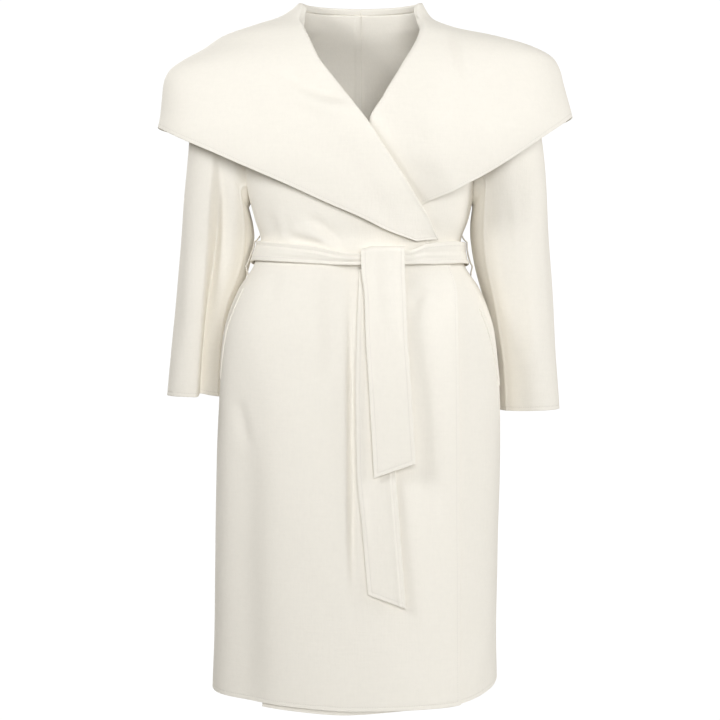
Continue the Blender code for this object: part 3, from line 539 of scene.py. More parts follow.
def smooth(at, knots, values):
    """A monotone cubic through the knots, level beyond them."""
    knots = np.asarray(knots, float)
    values = np.asarray(values, float)
    if knots[0] > knots[-1]:
        knots = knots[::-1]
        values = values[::-1]
    step = np.diff(knots)
    slope = np.diff(values) / step
    tangent = np.concatenate([slope[:1], np.zeros(len(slope) - 1), slope[-1:]])
    same = slope[:-1] * slope[1:] > 0
    sums = np.where(same, slope[:-1] + slope[1:], 1.0)
    tangent[1:-1] = np.where(same, 2 * slope[:-1] * slope[1:] / sums, 0.0)
    at = np.clip(at, knots[0], knots[-1])
    cell = np.clip(np.searchsorted(knots, at) - 1, 0, len(step) - 1)
    t = (at - knots[cell]) / step[cell]
    start = (1 + 2 * t) * (1 - t) ** 2 * values[cell] + t * (1 - t) ** 2 * step[cell] * tangent[cell]
    end = t * t * (3 - 2 * t) * values[cell + 1] + t * t * (t - 1) * step[cell] * tangent[cell + 1]
    return start + end


def read(table, at, name):
    """Column `name` of a table at the value `at` of its first column."""
    return smooth(at, [row[0] for row in table], [getattr(row, name) for row in table])


def ease(t):
    t = np.clip(t, 0.0, 1.0)
    return t * t * (3 - 2 * t)


def ramp(value, start, fade):
    return ease((value - start) / fade)


def grids(*values):
    return np.broadcast_arrays(*[np.asarray(value, float) for value in values])


def unit(vectors):
    return vectors / np.linalg.norm(vectors, axis=-1, keepdims=True)


def points(x, y, z):
    return np.stack(np.broadcast_arrays(x, y, z), axis=-1)


def ring_point(angle, side, depth, power, shift, height):
    turn = np.radians(angle)
    across = np.abs(np.sin(turn)) / side
    along = np.abs(np.cos(turn)) / depth
    radius = (across**power + along**power) ** (-1 / power)
    return points(shift + radius * np.sin(turn), -radius * np.cos(turn), height)


def body(angle, height):
    """The outer face of the lowest layer of cloth."""
    angle, height = grids(angle, height)
    front = np.cos(np.radians(angle)) > 0
    depth = np.where(front, read(BODY, height, "front"), read(BODY, height, "back"))
    side = read(BODY, height, "half_width")
    return ring_point(angle, side, depth, BODY_POWER, read(BODY, height, "shift"), height)


def drape(angle, place):
    """The outer face of the collar's drape; `place` counts along DRAPE's rows."""
    angle, place = grids(angle, place)
    rows = np.arange(len(DRAPE))
    wearer_left = np.sin(np.radians(angle)) > 0
    front = np.cos(np.radians(angle)) > 0
    columns = {name: smooth(place, rows, [getattr(row, name) for row in DRAPE]) for name in Drape._fields}
    side = np.where(wearer_left, columns["reach_left"], columns["reach_right"])
    depth = np.where(front, columns["front"], columns["back"])
    return ring_point(angle, side, depth, 2.0, 0.0, columns["height"])


def place_at(height):
    """Where DRAPE's falling side is at this height."""
    fine = np.linspace(0, len(DRAPE) - 1, 600)
    heights = smooth(fine, np.arange(len(DRAPE)), [row.height for row in DRAPE])
    return np.interp(-np.asarray(height, float), -heights, fine)


def normals(surface, u, v, step_u, step_v, outward=1):
    along_u = surface(u + step_u, v) - surface(u - step_u, v)
    along_v = surface(u, v + step_v) - surface(u, v - step_v)
    return outward * unit(np.cross(along_u, along_v))


def body_normal(angle, height):
    return normals(body, angle, height, 0.5, 0.0005)


def angle_for(surface, x, place):
    """The angle at which the surface reaches x on the front."""
    x, place = grids(x, place)
    low = np.full(x.shape, -90.0)
    high = np.full(x.shape, 90.0)
    for _ in range(30):
        middle = (low + high) / 2
        short = surface(middle, place)[..., 0] < x
        low = np.where(short, middle, low)
        high = np.where(short, high, middle)
    return (low + high) / 2


def armhole_angle(height):
    """How far the armhole has eaten into the panel from the side, in degrees."""
    inside = np.clip(1 - ((height - ARMHOLE_MIDDLE) / ARMHOLE_HALF) ** 2, 0, 1)
    return ARMHOLE_ANGLE * np.sqrt(inside)


def hem_height(angle, height, drop=0.0):
    """The hem's own line, reached below HEM_ZONE."""
    share = np.clip((HEM_ZONE - height) / (HEM_ZONE - HEM_ROW), 0, 1)
    line = read(BODY_HEM, angle, "height") - drop
    return np.where(height < HEM_ZONE, HEM_ZONE + (line - HEM_ZONE) * share, height)


def lap_lift(angle, height):
    """How far the lapping front stands off the lowest layer."""
    side = ramp(angle, LAP_SIDE, LAP_OVER - LAP_SIDE)
    down = ease((LAP_START - height) / (LAP_START - LAP_FULL))
    x = body(angle, height)[..., 0]
    to_edge = read(LAP_EDGE, height, "x") - x
    over_collar = ease((HIDDEN_STRIP + UNDER_ROLL_REACH - to_edge) / UNDER_ROLL_FADE)
    over_collar = over_collar * ramp(height, UNDER_ROLL_LOW, WAIST_REACH)
    at_waist = ease(1 - np.abs(height - WAIST) / WAIST_REACH)
    on_front = LAYER + LAP_LIFT + WAIST_LIFT * at_waist
    return down * (side * on_front + over_collar * (LAYER + UNDER_ROLL_LIFT))


def flat_lift(angle, height):
    return np.zeros(np.broadcast(angle, height).shape)


def front_ribs(ribs):
    """How many ribs start on the front, at an x. The others start round the neck, at an angle."""
    return sum(rib.inner_x is not None for rib in ribs)


def rib_ends(ribs, along, end, surface, by_height):
    """Angle and height of the ribs' inner or outer ends, at any place along the collar."""
    knots = np.arange(len(ribs))
    heights = [getattr(rib, f"{end}_height") for rib in ribs]
    places = heights if by_height else list(place_at(heights))
    xs = []
    angles = []
    for rib, place in zip(ribs, places):
        x = getattr(rib, f"{end}_x")
        angle = getattr(rib, f"{end}_angle")
        angle = float(angle_for(surface, x, place)) if angle is None else angle
        xs.append(float(surface(angle, place)[0]) if x is None else x)
        angles.append(angle)
    height = smooth(along, knots, heights)
    by_x = angle_for(surface, smooth(along, knots, xs), height if by_height else place_at(height))
    round_neck = ease(along - (front_ribs(ribs) - 1))
    return by_x + (smooth(along, knots, angles) - by_x) * round_neck, height


def collar_surface(ribs, lift, hidden):
    """The fall of the collar as a function of the place along the ribs and the share outwards."""
    knots = np.arange(len(ribs))
    front = front_ribs(ribs)
    neck = np.array([0.0 if k < front - 2 else 0.5 if k < front else 1.0 for k in knots])
    flat = np.array([HIDDEN_STRIP if k < hidden else 0.0 for k in knots])

    def fall(along, out):
        angle_in, height_in = rib_ends(ribs, along, "inner", body, True)
        angle_out, height_out = rib_ends(ribs, along, "outer", drape, False)
        place_in = place_at(height_in)
        place_out = place_at(height_out)
        angle = angle_in + (angle_out - angle_in) * out
        place = place_in + (place_out - place_in) * out
        hanging = drape(angle, place)
        height = hanging[..., 2]
        on_shoulder = ramp(height, COLLAR_STAND_LOW, COLLAR_STAND_FADE)
        stand = lift(angle, height) + LAYER + ROLL_STAND + COLLAR_STAND * on_shoulder
        lying = off_coat(angle, height, stand)
        length = np.linalg.norm(drape(angle_out, place_out) - drape(angle_in, place_in), axis=-1)
        beyond = out * length - smooth(along, knots, flat)
        lying_share = (1 - smooth(along, knots, neck)) * (1 - ease(beyond / DRAPE_REACH))
        free = 1 - lying_share[..., None]
        return lying * (1 - free) + hanging * free

    return fall


def armhole_ring(turn, side, away):
    """The armhole's line, moved outwards. `turn` is 0 at the shoulder and 90 at the front."""
    height = ARMHOLE_MIDDLE + ARMHOLE_HALF * np.cos(np.radians(turn))
    angle = side * (90 - ARMHOLE_ANGLE * np.sin(np.radians(turn)))
    return body(angle, height) + away * body_normal(angle, height)


def section_ring(section, turn, side):
    cos = np.cos(np.radians(turn))
    sin = np.sin(np.radians(turn))
    middle_x = (section.outer_x + section.inner_x) / 2
    middle_z = (section.outer_z + section.inner_z) / 2
    x = middle_x + (section.outer_x - section.inner_x) / 2 * cos
    z = middle_z + (section.outer_z - section.inner_z) / 2 * cos
    return points(side * x, section.centre_y - section.half_depth * sin, z)


def through(sections, at):
    """A Catmull-Rom curve through a list of equal grids; `at` counts along the list."""
    last = len(sections) - 1
    padded = [2 * sections[0] - sections[1], *sections, 2 * sections[-1] - sections[-2]]
    cell = min(int(at), last - 1)
    t = at - cell
    a, b, c, d = padded[cell : cell + 4]
    return 0.5 * (2 * b + (c - a) * t + (2 * a - 5 * b + 4 * c - d) * t**2 + (3 * b - a - 3 * c + d) * t**3)


def sleeve_surface(table, side):
    def surface(turn, place):
        turn, place = grids(turn, place)
        flat_turn = turn.ravel()
        rings = [armhole_ring(flat_turn, side, HEAD_GAP)]
        rings += [section_ring(section, flat_turn, side) for section in table]
        found = np.empty((flat_turn.size, 3))
        for value in np.unique(place):
            chosen = place.ravel() == value
            found[chosen] = through([ring[chosen] for ring in rings], value)
        return found.reshape(*turn.shape, 3)

    return surface


def seam_turns(seam, under, down):
    """Where one piece of the sleeve begins and ends, `down` being 0 at the armhole and 1 at the cuff."""
    line = seam.armhole + (seam.cuff - seam.armhole) * down
    return (line, 360 - line) if under else (-line, line)


def coat_face(angle, height):
    """How far the coat's outermost layer stands off the lowest one."""
    return lap_lift(angle, height) * ease((LAP_EDGE_ANGLE + KNOT_FADE - angle) / KNOT_FADE)


def bow(x, height, middle):
    """How far the waist's roundness sets a ribbon's edges back from its middle."""
    here = body(angle_for(body, x, height), height)[..., 1]
    there = body(angle_for(body, middle, height), height)[..., 1]
    return here - there


# ---- creases


def crease_field(table, at, faces):
    """Height of the creases at these points; `faces` gives the weight of each side of the form."""
    total = np.zeros(at.shape[:-1])
    for face, row in table:
        across = at[..., 0] if face in ("front", "back") else at[..., 1]
        run_a = row.across1 - row.across0
        run_z = row.z1 - row.z0
        length = math.hypot(run_a, run_z)
        off_a = across - row.across0
        off_z = at[..., 2] - row.z0
        along = (off_a * run_a + off_z * run_z) / length**2
        beside = (off_z * run_a - off_a * run_z) / length
        beside = beside - row.bow * 4 * along * (1 - along)
        fade = ease(along / CREASE_FADE) * ease((1 - along) / CREASE_FADE)
        wide = np.where(beside * row.skew > 0, abs(row.skew), 1.0)
        shape = np.exp(-((beside / (row.width * wide)) ** 2))
        push = np.sign(row.lip) * LIP_PLACE * row.width
        raised = np.exp(-(((beside - push) / (LIP_WIDTH * row.width)) ** 2))
        total += faces[face] * fade * row.depth * (shape - abs(row.lip) * raised)
    return total


def unevenness(at):
    total = np.zeros(at.shape[:-1])
    for wave in WAVES:
        turn = wave.x * at[..., 0] + wave.y * at[..., 1] + wave.z * at[..., 2] + wave.phase
        total += wave.size * np.sin(turn)
    return total


def body_faces(angle):
    """How far each face of the coat reaches at an angle round the body."""
    turn = np.radians(angle)
    return {
        "front": ramp(np.cos(turn), *BODY_FRONT),
        "back": ramp(-np.cos(turn), *BODY_FRONT),
        "left": ramp(np.sin(turn), *BODY_SIDE),
        "right": ramp(-np.sin(turn), *BODY_SIDE),
    }


def coat(angle, height):
    """The lowest layer's outer face with its creases."""
    angle, height = grids(angle, height)
    plain = body(angle, height)
    crease = crease_field(COAT_CREASES, plain, body_faces(angle)) + unevenness(plain)
    return plain + body_normal(angle, height) * crease[..., None]


def off_coat(angle, height, distance):
    """Points at a distance from the lowest layer's creased face."""
    return coat(angle, height) + body_normal(angle, height) * np.asarray(distance)[..., None]


# ---- cloth


def rim_shares(length, count, low, high):
    """Places along a line of this length: even inside, closer where an end rounds off."""
    start = np.array(STEPS[low], float)
    end = length - np.array(STEPS[high], float)[::-1]
    inside = np.linspace(start[-1], end[0], count)
    return np.concatenate([start[:-1], inside, end[1:]]) / length


def summed(grid, axis):
    """Distance along the grid's lines from their first point."""
    step = np.linalg.norm(np.diff(grid, axis=axis), axis=-1)
    padding = [(0, 0), (0, 0)]
    padding[axis] = (1, 0)
    return np.cumsum(np.pad(step, padding), axis=axis)


def grid_normals(grid, hint):
    away = unit(np.cross(np.gradient(grid, axis=0), np.gradient(grid, axis=1)) + 1e-15)
    return -away if np.sum(away * hint) < 0 else away


def cloth(name, nodes, outer, hint, thick, edges, relief=None, channel=STITCH_CHANNEL):
    """A wall of cloth inside the grid `outer`, with rounded free edges and sewn ones.

    `edges` gives the kind of the grid's first row, last row, first column and last column.
    `relief` raises the inner face only, no further than INSIDE_RAISE allows.
    """
    half = thick / 2
    away = grid_normals(outer, hint)
    down = summed(outer, 0)
    over = summed(outer, 1)
    reach = [down, down[-1:] - down, over, over[:, -1:] - over]
    runs = [over, over, down, down]
    body_half = np.full(outer.shape[:2], half)
    dip = np.zeros(outer.shape[:2])
    edge = np.ones(outer.shape[:2])
    run = np.zeros(outer.shape[:2])
    for kind, near, length in zip(edges, reach, runs):
        if kind == "free":
            inside = np.clip(near / half, 0, 1)
            body_half = np.minimum(body_half, half * np.sqrt(1 - (1 - inside) ** 2))
            dip += channel * np.exp(-(((near - EDGE_STITCH) / CHANNEL_HALF) ** 2))
            run = np.where(near < edge, length, run)
            edge = np.minimum(edge, near)
        elif kind == "seam":
            dip += SEAM_DIP * np.exp(-((near / SEAM_REACH) ** 2))
        elif kind == "ridge":
            dip += RIDGE_DIP * np.exp(-((near / RIDGE_DIP_REACH) ** 2))
            dip -= SLEEVE_RIDGE * np.exp(-((near / RIDGE_REACH) ** 2))
    middle = outer - away * half
    face = middle + away * np.maximum(body_half - dip, THIN)[..., None]
    dip = dip if relief is None else dip - relief
    rear = middle - away * np.maximum(body_half - np.maximum(dip, INSIDE_RAISE), THIN)[..., None]
    return shell(name, nodes, face, rear, edge, run)


def placed(name, data):
    made = bpy.data.objects.new(name, data)
    bpy.context.scene.collection.objects.link(made)
    return made


def shell(name, nodes, face, rear, edge, run):
    """The two faces of a wall of cloth and the rim between them, as one piece.

    `edge` is each point's distance from a free edge, and `run` its place along that edge.
    """
    name = f"{name}_cloth"
    rows, columns = face.shape[:2]
    count = rows * columns
    index = np.arange(count).reshape(rows, columns)
    a = index[:-1, :-1].ravel()
    b = index[:-1, 1:].ravel()
    c = index[1:, 1:].ravel()
    d = index[1:, :-1].ravel()
    quads = [np.stack([a, b, c, d], axis=1), np.stack([d, c, b, a], axis=1) + count]
    rim = [index[0], index[-1][::-1], index[::-1, 0], index[:, -1]]
    for line in rim:
        quads.append(np.stack([line[1:], line[:-1], line[:-1] + count, line[1:] + count], axis=1))
    quads = np.concatenate(quads)
    corners = np.concatenate([face.reshape(-1, 3), rear.reshape(-1, 3)])
    first = corners[quads]
    volume = np.sum(first[:, 0] * np.cross(first[:, 1], first[:, 2]))
    volume += np.sum(first[:, 0] * np.cross(first[:, 2], first[:, 3]))
    if volume < 0:
        quads = quads[:, ::-1]
    mesh = bpy.data.meshes.new(name)
    mesh.vertices.add(len(corners))
    mesh.vertices.foreach_set("co", corners.ravel())
    mesh.loops.add(quads.size)
    mesh.loops.foreach_set("vertex_index", quads.ravel().astype(np.int32))
    mesh.polygons.add(len(quads))
    mesh.polygons.foreach_set("loop_start", np.arange(0, quads.size, 4, dtype=np.int32))
    mesh.update(calc_edges=True)
    mesh.validate()
    mesh.shade_smooth()
    for label, values in (("edge", edge), ("run", run)):
        layer = mesh.attributes.new(label, "FLOAT", "POINT")
        layer.data.foreach_set("value", np.tile(values.ravel(), 2).astype(np.float32))
    mesh.materials.append(WOOL_MATERIAL)
    piece = placed(name, mesh)
    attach(piece, "root")
    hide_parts(*nodes)
    return piece


# ---- body panels


def panel_heights():
    """Heights of a panel's rows from the hem up, closest at the hem's rim and the armhole's ends."""
    hem = HEM_ROW + np.array(STEPS["free"], float)
    skirt = np.linspace(hem[-1], ARMHOLE_LOW - BELOW_ARMHOLE, SKIRT_FINE)
    armhole = ARMHOLE_MIDDLE - ARMHOLE_HALF * np.cos(np.pi * np.linspace(0, 1, ARMHOLE_FINE))
    shoulder = np.linspace(ARMHOLE_TOP + ABOVE_ARMHOLE, NECK_SEAM, SHOULDER_FINE)
    return np.concatenate([hem[:-1], skirt, armhole, shoulder])


def back_cloth(name, side):
    heights = panel_heights()[:, None]
    share = rim_shares(BACK_GRID.width, BACK_GRID.columns, "seam", "seam")[None, :]
    centre = 180 - np.degrees(CENTRE_GAP / read(BODY, heights, "back"))
    edge = 90 + armhole_angle(heights) + SIDE_GAP
    angle = side * (edge + (centre - edge) * share)
    height = hem_height(angle, heights + 0 * angle)
    outer = coat(angle, height)
    to_centre = summed(outer, 1)
    to_centre = to_centre[:, -1:] - to_centre
    fold = CENTRE_FOLD if side < 0 else CENTRE_UNDER
    relief = fold.height * ease((fold.edge - to_centre) / fold.slope)
    if side < 0:
        off_groove = (to_centre - CENTRE_GROOVE.edge) / CENTRE_GROOVE.slope
        relief += CENTRE_GROOVE.height * np.exp(-(off_groove**2))
    edges = ("free", "plain", "seam", "seam")
    return cloth(name, [name], outer, body_normal(angle, height), CLOTH, edges, relief)


def front_cloth(name, side, edge_table, grid, lift, drop):
    heights = panel_heights()[:, None]
    share = rim_shares(grid.width, grid.columns, "seam", "free")[None, :]
    x = read(edge_table, heights, "x")
    set_back = -side * np.where(heights > UNDER_ROLL_LOW, EDGE_SET_BACK, 0.0)
    edge = angle_for(body, x - set_back, heights)
    seam = side * (90 - armhole_angle(heights) - SIDE_GAP)
    angle = seam + (edge - seam) * share
    lower = drop * ramp(share, DROP_START, DROP_FADE)
    height = hem_height(angle, heights + 0 * angle, lower)
    outer = off_coat(angle, height, lift(angle, height))
    edges = ("free", "plain", "seam", "free")
    return cloth(name, [name], outer, body_normal(angle, height), CLOTH, edges)


# ---- collar


def collar_face(ribs, lift, grid, hidden, side):
    """The collar's outer face with its creases, its normals and the rows' places along the ribs."""
    fall = collar_surface(ribs, lift, hidden)
    along = rim_shares(grid.length, grid.rows, "free", "seam") * (len(ribs) - 1 - CENTRE_BACK_GAP)
    out = rim_shares(grid.width, grid.columns, "plain", "free") ** COLLAR_SPACING
    u, v = np.meshgrid(along, out, indexing="ij")
    surface = fall(u, v)
    # which way is out, from half-way out along the sixth rib
    facing = normals(fall, u[:1] * 0 + 5, v[:1] * 0 + 0.5, 0.01, 0.01, -side)[0]
    plain_normal = grid_normals(surface, facing)
    around = np.arctan2(surface[..., 0], -surface[..., 1])
    crease = crease_field(COLLAR_CREASES, surface, body_faces(np.degrees(around)))
    crease = (crease + COLLAR_UNEVEN * unevenness(surface)) * ease(v / COLLAR_SMOOTH)
    surface = surface + plain_normal * crease[..., None]
    return surface, grid_normals(surface, plain_normal), along


def panel_under_roll(lift, angle, height, side):
    """The middle of the front's cloth beneath the collar's roll."""
    edge_x = body(angle, height)[..., 0] + side * (EDGE_SET_BACK + EDGE_CLEAR)
    panel_angle = angle_for(body, edge_x, height)
    deep = lift(panel_angle, height) - CLOTH / 2
    return off_coat(panel_angle, height, deep)


def collar_lip(ribs, lift, along, side, surface, away):
    """Columns that turn the collar in: under its roll at the front, and down as a stand behind."""
    start = surface[:, 0]
    up = away[:, 0]
    outwards = surface[:, 2] - start
    outwards = unit(outwards - up * np.sum(outwards * up, axis=-1, keepdims=True))
    angle_in, _ = rib_ends(ribs, along, "inner", body, True)
    front = front_ribs(ribs)
    knots = np.arange(len(ribs))
    on_front = smooth(along, knots, [1.0 if k < front else 0.0 for k in knots])[:, None]
    panel = panel_under_roll(lift, angle_in, start[:, 2], side)
    gap = np.sum((start - panel) * up, axis=-1)
    radius = np.clip((gap + CLOTH / 2) / 2, ROLL_LEAST, ROLL_MOST)
    radius = np.where(on_front[:, 0] > 0, radius, ROLL_RADIUS)[:, None]
    centre = start + outwards * radius - up * radius
    below = centre - up * radius
    at_neck = np.full(len(along), NECK_SEAM)
    foot = off_coat(angle_in, at_neck, -CLOTH)

    def turn(about, size, arc):
        lean = math.radians(arc)
        return about + (up * math.sin(lean) - outwards * math.cos(lean)) * size

    axis = start + (outwards - up) * ROLL_RADIUS
    columns = []
    for step, arc in enumerate((None, None, -90, -60, -30, 0, 30, 60)):
        curled = panel + (below - panel) * (step / 2) if arc is None else turn(centre, radius, arc)
        if step < STAND_COLUMNS:
            stood = foot + (start - up * ROLL_RADIUS - foot) * step / STAND_COLUMNS
        else:
            stood = turn(axis, ROLL_RADIUS, arc)
        columns.append(stood + (curled - stood) * on_front)
    return np.stack(columns, axis=1)


def collar_cloth(name, ribs, lift, grid, hidden):
    side = -1 if ribs[-1].inner_angle < 0 else 1
    surface, away, along = collar_face(ribs, lift, grid, hidden, side)
    lip = collar_lip(ribs, lift, along, side, surface, away)
    first = max(np.searchsorted(summed(surface, 1)[len(along) // 2], LIP_CLEAR), 1)
    outer = np.concatenate([lip, surface[:, first:]], axis=1)
    hint = np.concatenate([np.zeros_like(lip), away[:, first:]], axis=1)
    edges = ("free", "seam", "seam", "free")
    return cloth(name, [name], outer, hint, CLOTH, edges, channel=COLLAR_CHANNEL)


# ---- sleeves


def sleeve_cloth(name, table, side, seam, grid, creases):
    surface = sleeve_surface(table, side)
    last = len(table)
    place = rim_shares(grid.length, grid.rows, "plain", "free") * last
    across = rim_shares(grid.width, grid.columns, "ridge", "ridge")
    share, v = np.meshgrid(across, place, indexing="xy")
    start, end = seam_turns(seam, grid is UNDER_GRID, v / last)
    u = start + (end - start) * share
    outer = surface(u, v)
    inside = 0.02
    away = normals(surface, u, np.clip(v, inside, last - inside), 1.0, inside, side)
    lean = np.radians(u)
    faces = {
        "front": ramp(np.sin(lean), *SLEEVE_FRONT),
        "back": ramp(-np.sin(lean), *SLEEVE_FRONT),
        "outer": ramp(np.cos(lean), *SLEEVE_OUTER),
    }
    crease = crease_field(creases, outer, faces) + unevenness(outer)
    crease = crease * ramp(v, *SLEEVE_HEAD)
    outer = outer + away * crease[..., None]
    return cloth(name, [name], outer, away, CLOTH, ("plain", "free", "ridge", "ridge"))


# ---- belt, pockets and loops


def belt_cloth():
    """The belt round the waist, in one strip from one side of the knot to the other."""
    first = KNOT_ANGLE + KNOT_GAP
    angle = np.linspace(first, KNOT_ANGLE + 360 - KNOT_GAP, BELT_GRID.columns)[None, :]
    share = rim_shares(BELT_GRID.length, BELT_GRID.rows, "free", "free")[:, None]
    turned = (angle + 180) % 360 - 180
    low = read(BELT, turned, "low")
    high = read(BELT, turned, "high")
    height = low + (high - low) * share
    across = turned + 0 * height
    near_knot = ease((KNOT_REACH - np.abs(across - KNOT_ANGLE)) / KNOT_FADE)
    front_share = ramp(np.cos(np.radians(across)), *BELT_FRONT)
    front_stand = np.maximum(coat_face(across, height), LAYER)
    stand = BELT_BACK_STAND + (front_stand - BELT_BACK_STAND) * front_share
    stand = stand + BELT_STAND + KNOT_STAND * near_knot + BELT_CLOTH
    fold = np.zeros(across.shape)
    for row in BELT_FOLDS:
        place = across if row.start < 0 else across % 360
        here = (place - row.start) / (row.end - row.start)
        line = row.share0 + (row.share1 - row.share0) * here + FOLD_WAVE * np.sin(here * FOLD_WAVES)
        fade = ease(here / FOLD_FADE) * ease((1 - here) / FOLD_FADE)
        fold += row.depth * fade * np.exp(-(((share - line) / row.width) ** 2))
    away = body_normal(across, height)
    outer = body(across, height) + away * (stand + fold)[..., None]
    nodes = ["belt_waist_back", "belt_waist_left", "belt_waist_right"]
    edges = ("free", "free", "plain", "plain")
    return cloth("belt_waist", nodes, outer, away, BELT_CLOTH, edges, channel=0.0)


def hanging(table, slant, grid, folds):
    """Outer face of a hanging belt end, with its length in soft waves."""
    down_share = rim_shares(grid.length, grid.rows, "plain", "free")[:, None]
    height = table[0].height + (table[-1].height - table[0].height) * down_share
    share = rim_shares(grid.width, grid.columns, "free", "free")[None, :]
    left = read(table, height, "left")
    right = read(table, height, "right")
    x = left + (right - left) * share
    z = height - abs(slant) * down_share**SLANT_POWER * (share if slant < 0 else 1 - share)
    top = table[0].height + 0 * x
    rounding = bow(x, top, (left + right) / 2 + 0 * x) * (1 - ease(down_share * ROUNDING_FADE))
    wave = np.zeros(x.shape)
    for fold in folds:
        within = ramp(down_share, fold.low, END_FOLD_FADE)
        within = within * ease((fold.high - down_share) / END_FOLD_FADE)
        wave += fold.size * within * np.exp(-(((share - fold.place) / fold.width) ** 2))
    return points(x, rounding - read(table, height, "front") - wave, z)


def end_cloth(name, outer, hint):
    edges = ("plain", "free", "free", "free")
    return cloth(name, [name], outer, hint, CLOTH, edges, channel=END_CHANNEL)


def end_back_cloth():
    outer = hanging(END_BACK, END_BACK_SLANT, END_BACK_GRID, END_BACK_FOLDS)
    return end_cloth("belt_end_back", outer, np.array(FORWARD))


def end_front_cloth():
    """From behind the belt, over its top edge and down the front."""
    falling = hanging(END_FRONT, END_FRONT_SLANT, END_FRONT_GRID, END_FRONT_FOLDS)
    top = falling[0]
    share = (top[:, 0] - top[0, 0]) / (top[-1, 0] - top[0, 0])
    droop = points(0, 0, -TURN_DROOP * (1 - ease(share / DROOP_WIDTH)))
    radius = TURN_DEPTH / 2
    centre_z = TURN_TOP - radius
    rows = []
    for share_behind in TURN_ROWS:
        drop = TURN_BEHIND * share_behind
        rows.append(top + droop + np.array([0, TURN_DEPTH, centre_z - drop - top[0, 2]]))
    for turn in range(0, 181, TURN_STEP):
        lean = math.radians(turn)
        shift = radius + radius * math.cos(lean)
        level = centre_z + radius * math.sin(lean) - top[0, 2]
        rows.append(top + droop * math.sin(lean) + np.array([0, shift, level]))
    outer = np.concatenate([np.stack(rows), falling[1:]])
    hint = np.zeros_like(outer)
    hint[-1] = FORWARD
    return end_cloth("belt_end_front", outer, hint)


def welt_cloth(name, table, side):
    top, low = table
    height_share = rim_shares(WELT_GRID.length, WELT_GRID.rows, "free", "free")[:, None]
    across_share = rim_shares(WELT_GRID.width, WELT_GRID.columns, "free", "free")[None, :]
    height = low.height + (top.height - low.height) * height_share
    angle_line = low.angle + (top.angle - low.angle) * height_share
    half = np.degrees(WELT_WIDTH / 2 / HIP_RADIUS)
    angle = angle_line - half + 2 * half * across_share
    level = height + 0 * angle
    lift = lap_lift(angle, level) if side < 0 else flat_lift(angle, level)
    outer = off_coat(angle, level, lift + WELT_STAND)
    hint = body_normal(angle, level)
    return cloth(name, [name], outer, hint, TRIM_CLOTH, ("free",) * 4, channel=WELT_CHANNEL)


def loop_cloth(name, side):
    share = rim_shares(LOOP_GRID.length, LOOP_GRID.rows, "free", "free")[:, None]
    height = LOOP_LOW + (LOOP_TOP - LOOP_LOW) * share
    half = np.degrees(LOOP_WIDTH / 2 / WAIST_RADIUS)
    across = np.array(LOOP_SHARES, float)[None, :]
    angle = side * LOOP_ANGLE - half + 2 * half * across
    level = height + 0 * angle
    over_belt = BELT_BACK_STAND + BELT_STAND + BELT_CLOTH + LOOP_CLEAR
    rise = LOOP_FOOT + over_belt * ease(np.minimum(share, 1 - share) / LOOP_BEND)
    away = body_normal(angle, level)
    outer = body(angle, level) + away * (rise + TRIM_CLOTH + 0 * angle)[..., None]
    return cloth(name, [name], outer, away, TRIM_CLOTH, ("free",) * 4, channel=0.0)


# ---- material


def set_inputs(node, values):
    for socket, value in values.items():
        node.inputs[socket].default_value = value


